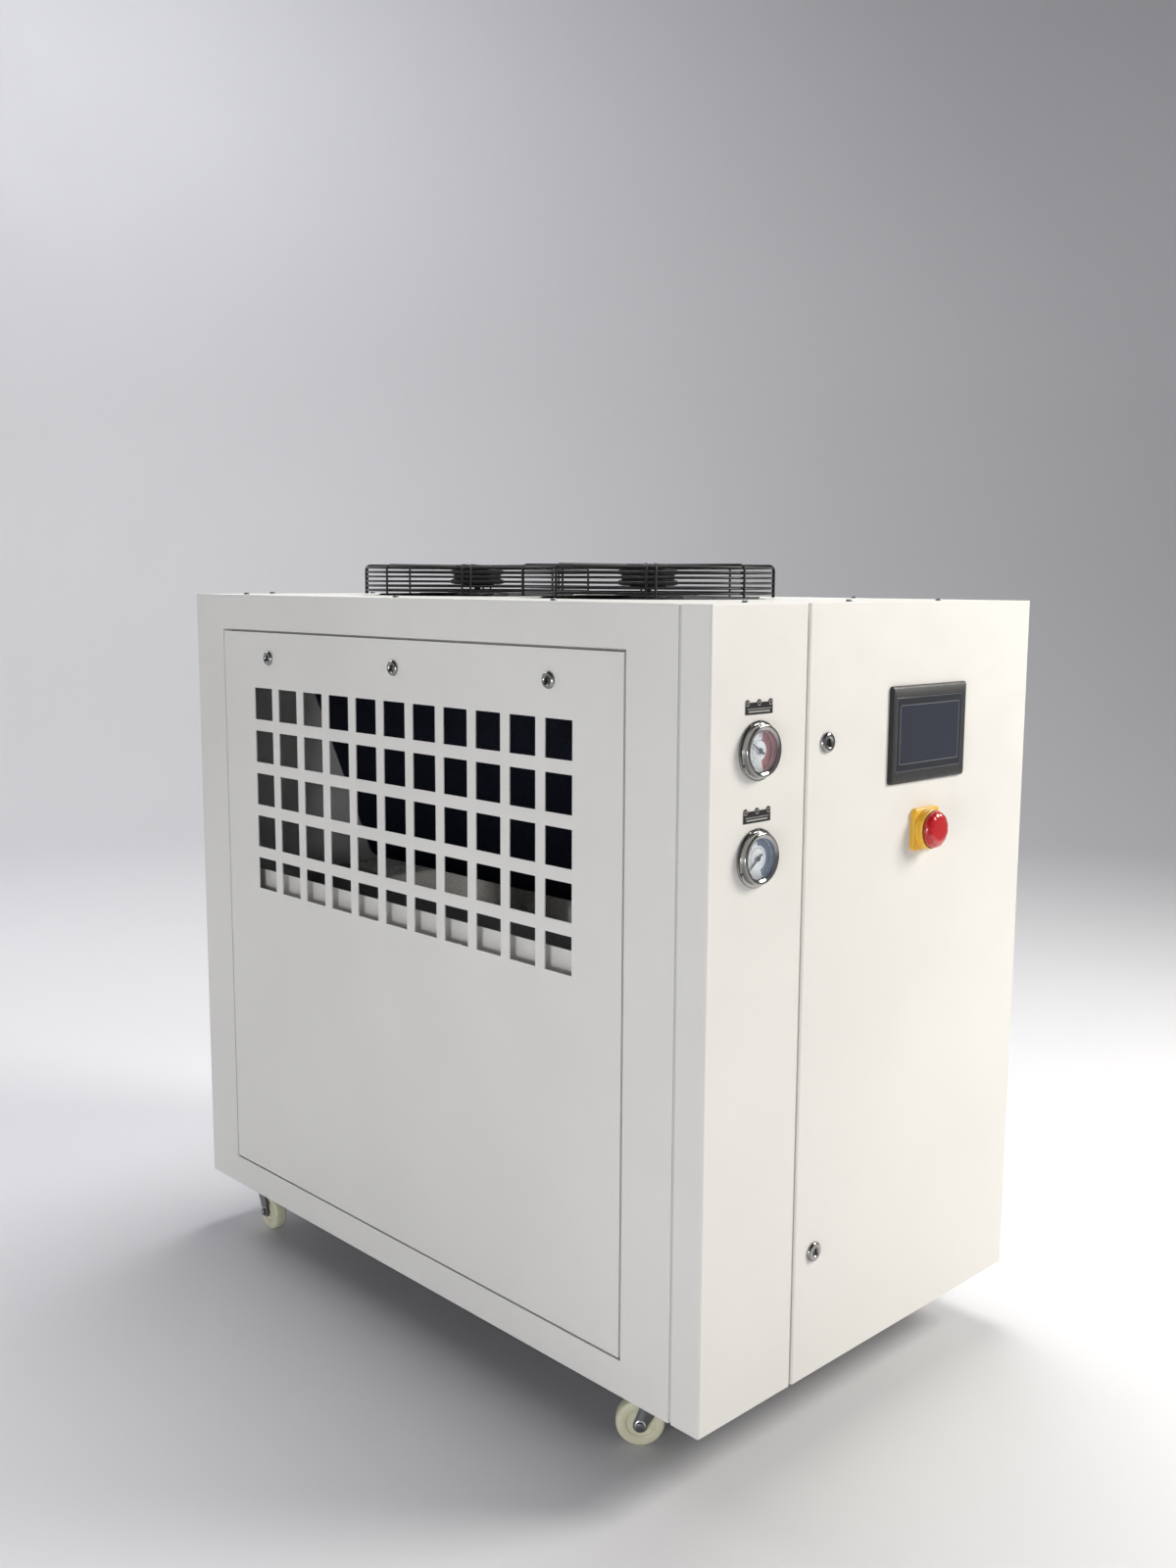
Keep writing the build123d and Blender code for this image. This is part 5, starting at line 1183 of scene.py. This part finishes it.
# the camera and the studio
cameraWork = {"place": (-1.8155, -1.8968, 1.2823), "yaw": 43.98, "pitch": 7.891, "roll": -0.304,
              "lens": 33.75, "sensor": (27, 36)}
cameraData = bpy.data.cameras.new("photoView")
cameraData.lens, cameraData.sensor_fit = cameraWork["lens"], "VERTICAL"
cameraData.sensor_width, cameraData.sensor_height = cameraWork["sensor"]
camera = bpy.data.objects.new("photoView", cameraData)
bpy.context.scene.collection.objects.link(camera)
yaw, pitch = math.radians(cameraWork["yaw"]), math.radians(cameraWork["pitch"])
ahead = Vector((math.sin(yaw) * math.cos(pitch), math.cos(yaw) * math.cos(pitch), -math.sin(pitch)))
aimed = Matrix.Translation(cameraWork["place"]) @ ahead.to_track_quat("-Z", "Y").to_matrix().to_4x4()
camera.matrix_world = aimed @ Matrix.Rotation(math.radians(-cameraWork["roll"]), 4, "Z")
bpy.context.scene.camera = camera

studioWork = {"floorRadius": 5.0, "coveRadius": 2.5, "wallTop": 6.5, "floorColour": (0.78, 0.78, 0.8),
              "wallColour": (0.56, 0.56, 0.585)}
floorRadius, coveRadius, wallTop = [studioWork[key] for key in ("floorRadius", "coveRadius", "wallTop")]
cove = [(0, 0), (1.5, 0), (3.5, 0), (floorRadius, 0)]
cove += arcPoints(floorRadius, coveRadius, coveRadius, -90, 0, 12)[1:] + [(floorRadius + coveRadius, wallTop)]
studio = bmesh.new()
turn(studio, [(radius / mm, height / mm) for radius, height in cove], flat, 96)
paper, tree, shader, coords = startMaterial("studioPaper")
rise = between(tree, add(tree, "ShaderNodeSeparateXYZ", {0: coords}).outputs["Z"], 0, 1, 0.0, wallTop)
setSockets(tree, shader, {
    "Base Color": ramp(tree, rise, (0, 1), (studioWork["floorColour"], studioWork["wallColour"])),
    "Roughness": between(tree, noise(tree, coords, 2, 2), 0.5, 0.6)})
cyclorama = asPiece("studioFloor", meshOf("studioFloor", studio), paper, 60)
cyclorama.data.flip_normals()

# spot, aim, size, power, colour
lightWork = {
    "keyRight": ((2.4, -2.6, 2.6), (0.1, -0.5, 0.8), 1.6, 138, (1.0, 0.965, 0.9)),
    "fillLeft": ((-4.1, -1.9, 0.7), (-0.4, 0.0, 0.7), 1.1, 54, (0.95, 0.97, 1.0)),
    "topSoft": ((0.9, 0.5, 4.4), (-0.4, 0.0, 0.0), 2.2, 118, (1.0, 1.0, 1.0)),
    "backSoft": ((-1.0, 3.4, 3.2), (-0.6, 2.2, 0.2), 2.4, 46, (0.96, 0.97, 1.0)),
    "wallWash": ((0.8, 4.0, 5.2), (3.6, 7.0, 3.6), 2.0, 106, (0.98, 0.99, 1.0)),
}
for name, (spot, aim, size, power, colour) in lightWork.items():
    data = bpy.data.lights.new(name, "AREA")
    data.shape, data.size, data.energy, data.color = "DISK", size, power, colour
    light = bpy.data.objects.new(name, data)
    light.location = spot
    light.rotation_euler = (Vector(aim) - Vector(spot)).to_track_quat("-Z", "Y").to_euler()
    bpy.context.scene.collection.objects.link(light)
airWork = {"Color": (0.88, 0.9, 0.94, 1), "Strength": 0.06}
world = bpy.data.worlds.new("studioAir")
world.use_nodes = True
setSockets(world.node_tree, world.node_tree.nodes["Background"], airWork)
bpy.context.scene.world = world
bpy.context.scene.view_settings.view_transform = "Standard"
print("studio lit")
